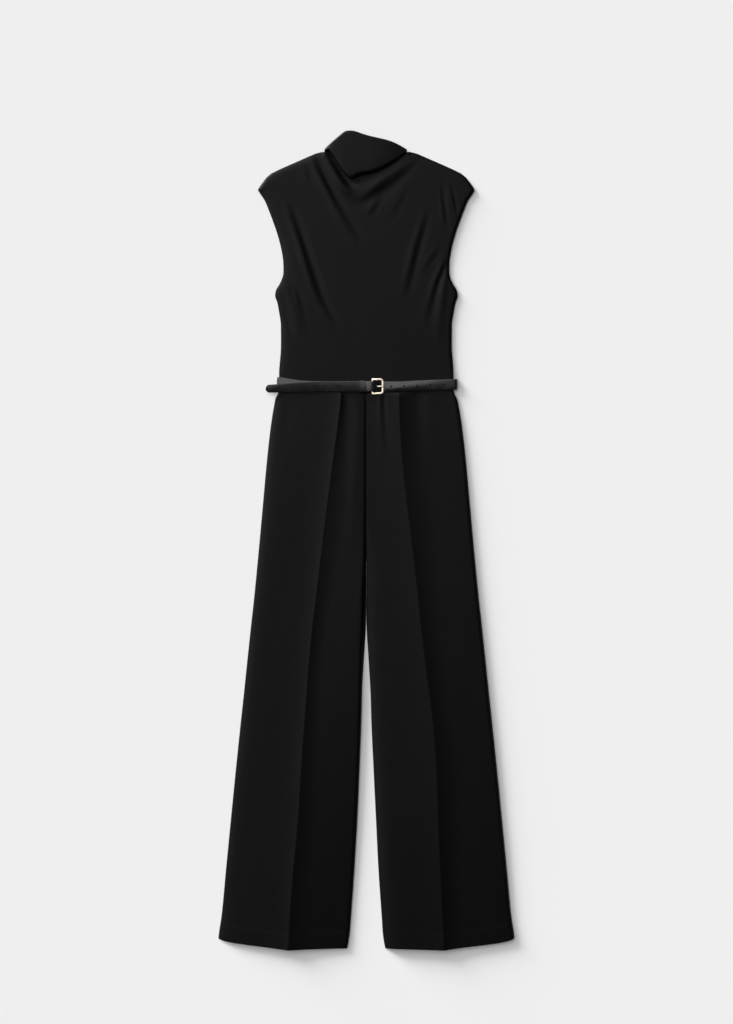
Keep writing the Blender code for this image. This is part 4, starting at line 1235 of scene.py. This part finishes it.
FRAME_HALF_HEIGHT = 13.2
FRAME_CORNER = 7.0
FRAME_WIRE = 4.4
FRAME_THICK = 2.2
PRONG_THICK = 2.0
PRONG_WIDTH = 2.8
RING_WALL = 1.1
FRAME_CORNER_STEPS = 10
FRAME_EDGE = 0.8
FRAME_EDGE_STEPS = 4
NEAR = 0.6
RING_STEPS = 40
PRONG_SIDES = 16


class BuckleFrame(bpy.types.Operator):
    """Makes the buckle's frame: a flat ring with round corners and a thin bar at its left."""

    bl_idname = "jumpsuit.buckle_frame"
    bl_label = "Buckle frame"

    def execute(self, context):
        low_x, high_x = HINGE_X - HINGE_WIRE / 2, OUTER_BAR_X + FRAME_WIRE / 2
        half = FRAME_HALF_HEIGHT + FRAME_WIRE / 2
        middle = Vector(((low_x + high_x) / 2, BELT_LINE - HALF_LENGTH, HINGE_Z - FRAME_THICK / 2)) * MM
        deselect_all()
        bpy.ops.mesh.primitive_plane_add(size=1, location=middle)
        ring = name_new("buckle_frame_gold")
        ring.scale = Vector(((high_x - low_x) * MM, 2 * half * MM, 1))
        apply_transform()
        with picked(ring, "vertices", lambda vertex: vertex.co.x > middle.x):
            bpy.ops.mesh.bevel(offset=FRAME_CORNER * MM, segments=FRAME_CORNER_STEPS, affect="VERTICES")
        with picked(ring, "vertices", lambda vertex: True):
            bpy.ops.mesh.inset(thickness=FRAME_WIRE * MM, depth=0)
            bpy.ops.mesh.delete(type="FACE")
        self.thin_hinge(ring, (low_x + FRAME_WIRE) * MM)
        give_wall(ring, FRAME_THICK * MM, 1, FRAME_EDGE * MM, FRAME_EDGE_STEPS)
        dress(ring, pale_gold, "metal", "buckle_frame")
        return {"FINISHED"}

    @staticmethod
    def thin_hinge(ring, inner):
        """Moves the inner edge beside the hinge outwards, which leaves a thin bar."""
        for vertex in ring.data.vertices:
            if abs(vertex.co.x - inner) < NEAR * MM:
                vertex.co.x -= (FRAME_WIRE - HINGE_WIRE) * MM


class Prong(bpy.types.Operator):
    """Makes the prong: a ring round the hinge bar, and an arm that reaches over the outer bar."""

    bl_idname = "jumpsuit.prong"
    bl_label = "Buckle prong"

    def execute(self, context):
        reach = HINGE_WIRE / 2 + SEAM_GAP + RING_WALL / 2
        centre = Vector((HINGE_X, BELT_LINE - HALF_LENGTH, HINGE_Z)) * MM
        deselect_all()
        bpy.ops.mesh.primitive_torus_add(
            location=centre, rotation=(np.pi / 2, 0, 0), major_segments=RING_STEPS, minor_segments=PRONG_SIDES,
            major_radius=reach * MM, minor_radius=RING_WALL / 2 * MM)
        ring = bpy.context.object
        ring.scale = (1, 1, PRONG_WIDTH / RING_WALL)
        apply_transform()
        rest_z = HINGE_Z + FRAME_THICK / 2 + SEAM_GAP + PRONG_THICK / 2
        route = [(HINGE_X + 0.9 * reach, HINGE_Z + 0.3, 0.6), (15.6, HINGE_Z - 0.1, 0.85)]
        route += [(18.8, HINGE_Z, 1.0), (23.6, rest_z - 0.8, 1.0), (26.8, rest_z - 0.1, 1.0)]
        route += [(31.0, rest_z, 0.98), (33.4, rest_z, 0.9), (34.6, rest_z - 0.1, 0.7), (35.2, rest_z - 0.25, 0.35)]
        arm = self.arm(rounded_line(route, 1))
        make_active(arm)
        ring.select_set(True)
        bpy.ops.object.join()
        prong = name_new("buckle_prong_gold")
        dress(prong, pale_gold, "metal", "buckle_prong")
        return {"FINISHED"}

    @staticmethod
    def arm(route):
        """A round bar drawn out along the route from a circle, narrower at its ends."""
        line_y = (BELT_LINE - HALF_LENGTH) * MM
        x, z, share = route[0]
        deselect_all()
        bpy.ops.mesh.primitive_circle_add(
            vertices=PRONG_SIDES, radius=PRONG_THICK / 2 * MM, fill_type="NGON",
            location=(x * MM, line_y, z * MM), rotation=(0, np.pi / 2, 0))
        arm = bpy.context.object
        apply_transform()
        with picked(arm, "vertices", lambda vertex: True):
            wide = PRONG_WIDTH / PRONG_THICK
            bpy.ops.transform.resize(value=(1, wide * share, share), center_override=(x * MM, line_y, z * MM))
            for (x0, z0, before), (x1, z1, after) in zip(route[:-1], route[1:]):
                step = ((x1 - x0) * MM, 0, (z1 - z0) * MM)
                bpy.ops.mesh.extrude_region_move(TRANSFORM_OT_translate={"value": step})
                size = after / before
                centre = (x1 * MM, line_y, z1 * MM)
                bpy.ops.transform.resize(value=(1, size, size), center_override=centre)
            bpy.ops.mesh.select_all(action="SELECT")
            bpy.ops.mesh.normals_make_consistent(inside=False)
        return arm


# Studio ---------------------------------------------------------------------------------------

FLOOR_SIZE = 60.0
FLOOR_Z = -0.0003
SENSOR = 36.0
LIGHT_AWAY = 3.0
VIEW_LIMIT = 100


class Studio(bpy.types.Operator):
    """Sets the pale floor, the soft light from the upper left, and the camera straight above."""

    bl_idname = "jumpsuit.studio"
    bl_label = "Studio"

    def execute(self, context):
        settings = studio_settings()
        deselect_all()
        bpy.ops.mesh.primitive_plane_add(size=FLOOR_SIZE, location=(0, 0, FLOOR_Z))
        floor = name_new("floor")
        floor.data.materials.append(material(pale_floor))
        floor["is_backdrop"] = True
        for name in ("low", "broad"):
            parts = (getattr(settings, f"{name}_{part}") for part in ("turn", "height", "spread", "light"))
            self.light(name + "_light", *parts)
        aim = Vector(settings.aim)
        bpy.ops.object.camera_add(location=aim + Vector((0, 0, settings.height)), rotation=(0, 0, 0))
        camera = context.object
        camera.name = "camera"
        camera.data.sensor_width = SENSOR
        camera.data.lens = SENSOR * settings.height / settings.view_length
        camera.data.clip_end = VIEW_LIMIT
        context.scene.camera = camera
        self.surround(context.scene, settings.room)
        context.scene.view_settings.view_transform = "Standard"
        deselect_all()
        return {"FINISHED"}

    @staticmethod
    def light(name, turn, height, spread, strength):
        """A soft light that comes from one side, at an angle above the floor."""
        towards = Vector((np.cos(turn) * np.cos(height), np.sin(turn) * np.cos(height), np.sin(height)))
        rotation = towards.to_track_quat("Z", "Y").to_euler()
        bpy.ops.object.light_add(type="SUN", rotation=rotation, location=towards * LIGHT_AWAY)
        light = bpy.context.object
        light.name = name
        light.data.energy = strength
        light.data.angle = spread

    @staticmethod
    def surround(scene, strength):
        """Even light from all round."""
        world = bpy.data.worlds.new("studio")
        scene.world = world
        world.use_nodes = True
        background = world.node_tree.nodes["Background"]
        background.inputs["Color"].default_value = (1, 1, 1, 1)
        background.inputs["Strength"].default_value = strength


# Panel and registration -----------------------------------------------------------------------


PIECES = (Studio, BackLegs, BackBodice, FrontLegs, FrontBodice, Collar, Strap, Keeper, BuckleFrame, Prong)
SETTINGS = (
    ("jumpsuit_cloth", ClothSettings),
    ("jumpsuit_belt", BeltSettings),
    ("jumpsuit_studio", StudioSettings),
)


class JUMPSUIT_PT_pieces(bpy.types.Panel):
    """Lists the settings and the operators that make each group of pieces."""

    bl_label = "Flat laid jumpsuit"
    bl_idname = "JUMPSUIT_PT_pieces"
    bl_space_type = "VIEW_3D"
    bl_region_type = "UI"
    bl_category = "Jumpsuit"

    def draw(self, context):
        for name, group in SETTINGS:
            box = self.layout.box()
            box.label(text=group.__doc__)
            for setting in group.__annotations__:
                box.prop(getattr(context.scene, name), setting)
        for piece in PIECES:
            self.layout.operator(piece.bl_idname)


def register():
    for name, group in SETTINGS:
        bpy.utils.register_class(group)
        setattr(bpy.types.Scene, name, bpy.props.PointerProperty(type=group))
    for piece in PIECES:
        bpy.utils.register_class(piece)
    bpy.utils.register_class(JUMPSUIT_PT_pieces)


def unregister():
    bpy.utils.unregister_class(JUMPSUIT_PT_pieces)
    for piece in reversed(PIECES):
        bpy.utils.unregister_class(piece)
    for name, group in reversed(SETTINGS):
        delattr(bpy.types.Scene, name)
        bpy.utils.unregister_class(group)


def main():
    register()
    for piece in PIECES:
        family, action = piece.bl_idname.split(".")
        getattr(getattr(bpy.ops, family), action)()


if __name__ == "__main__":
    main()
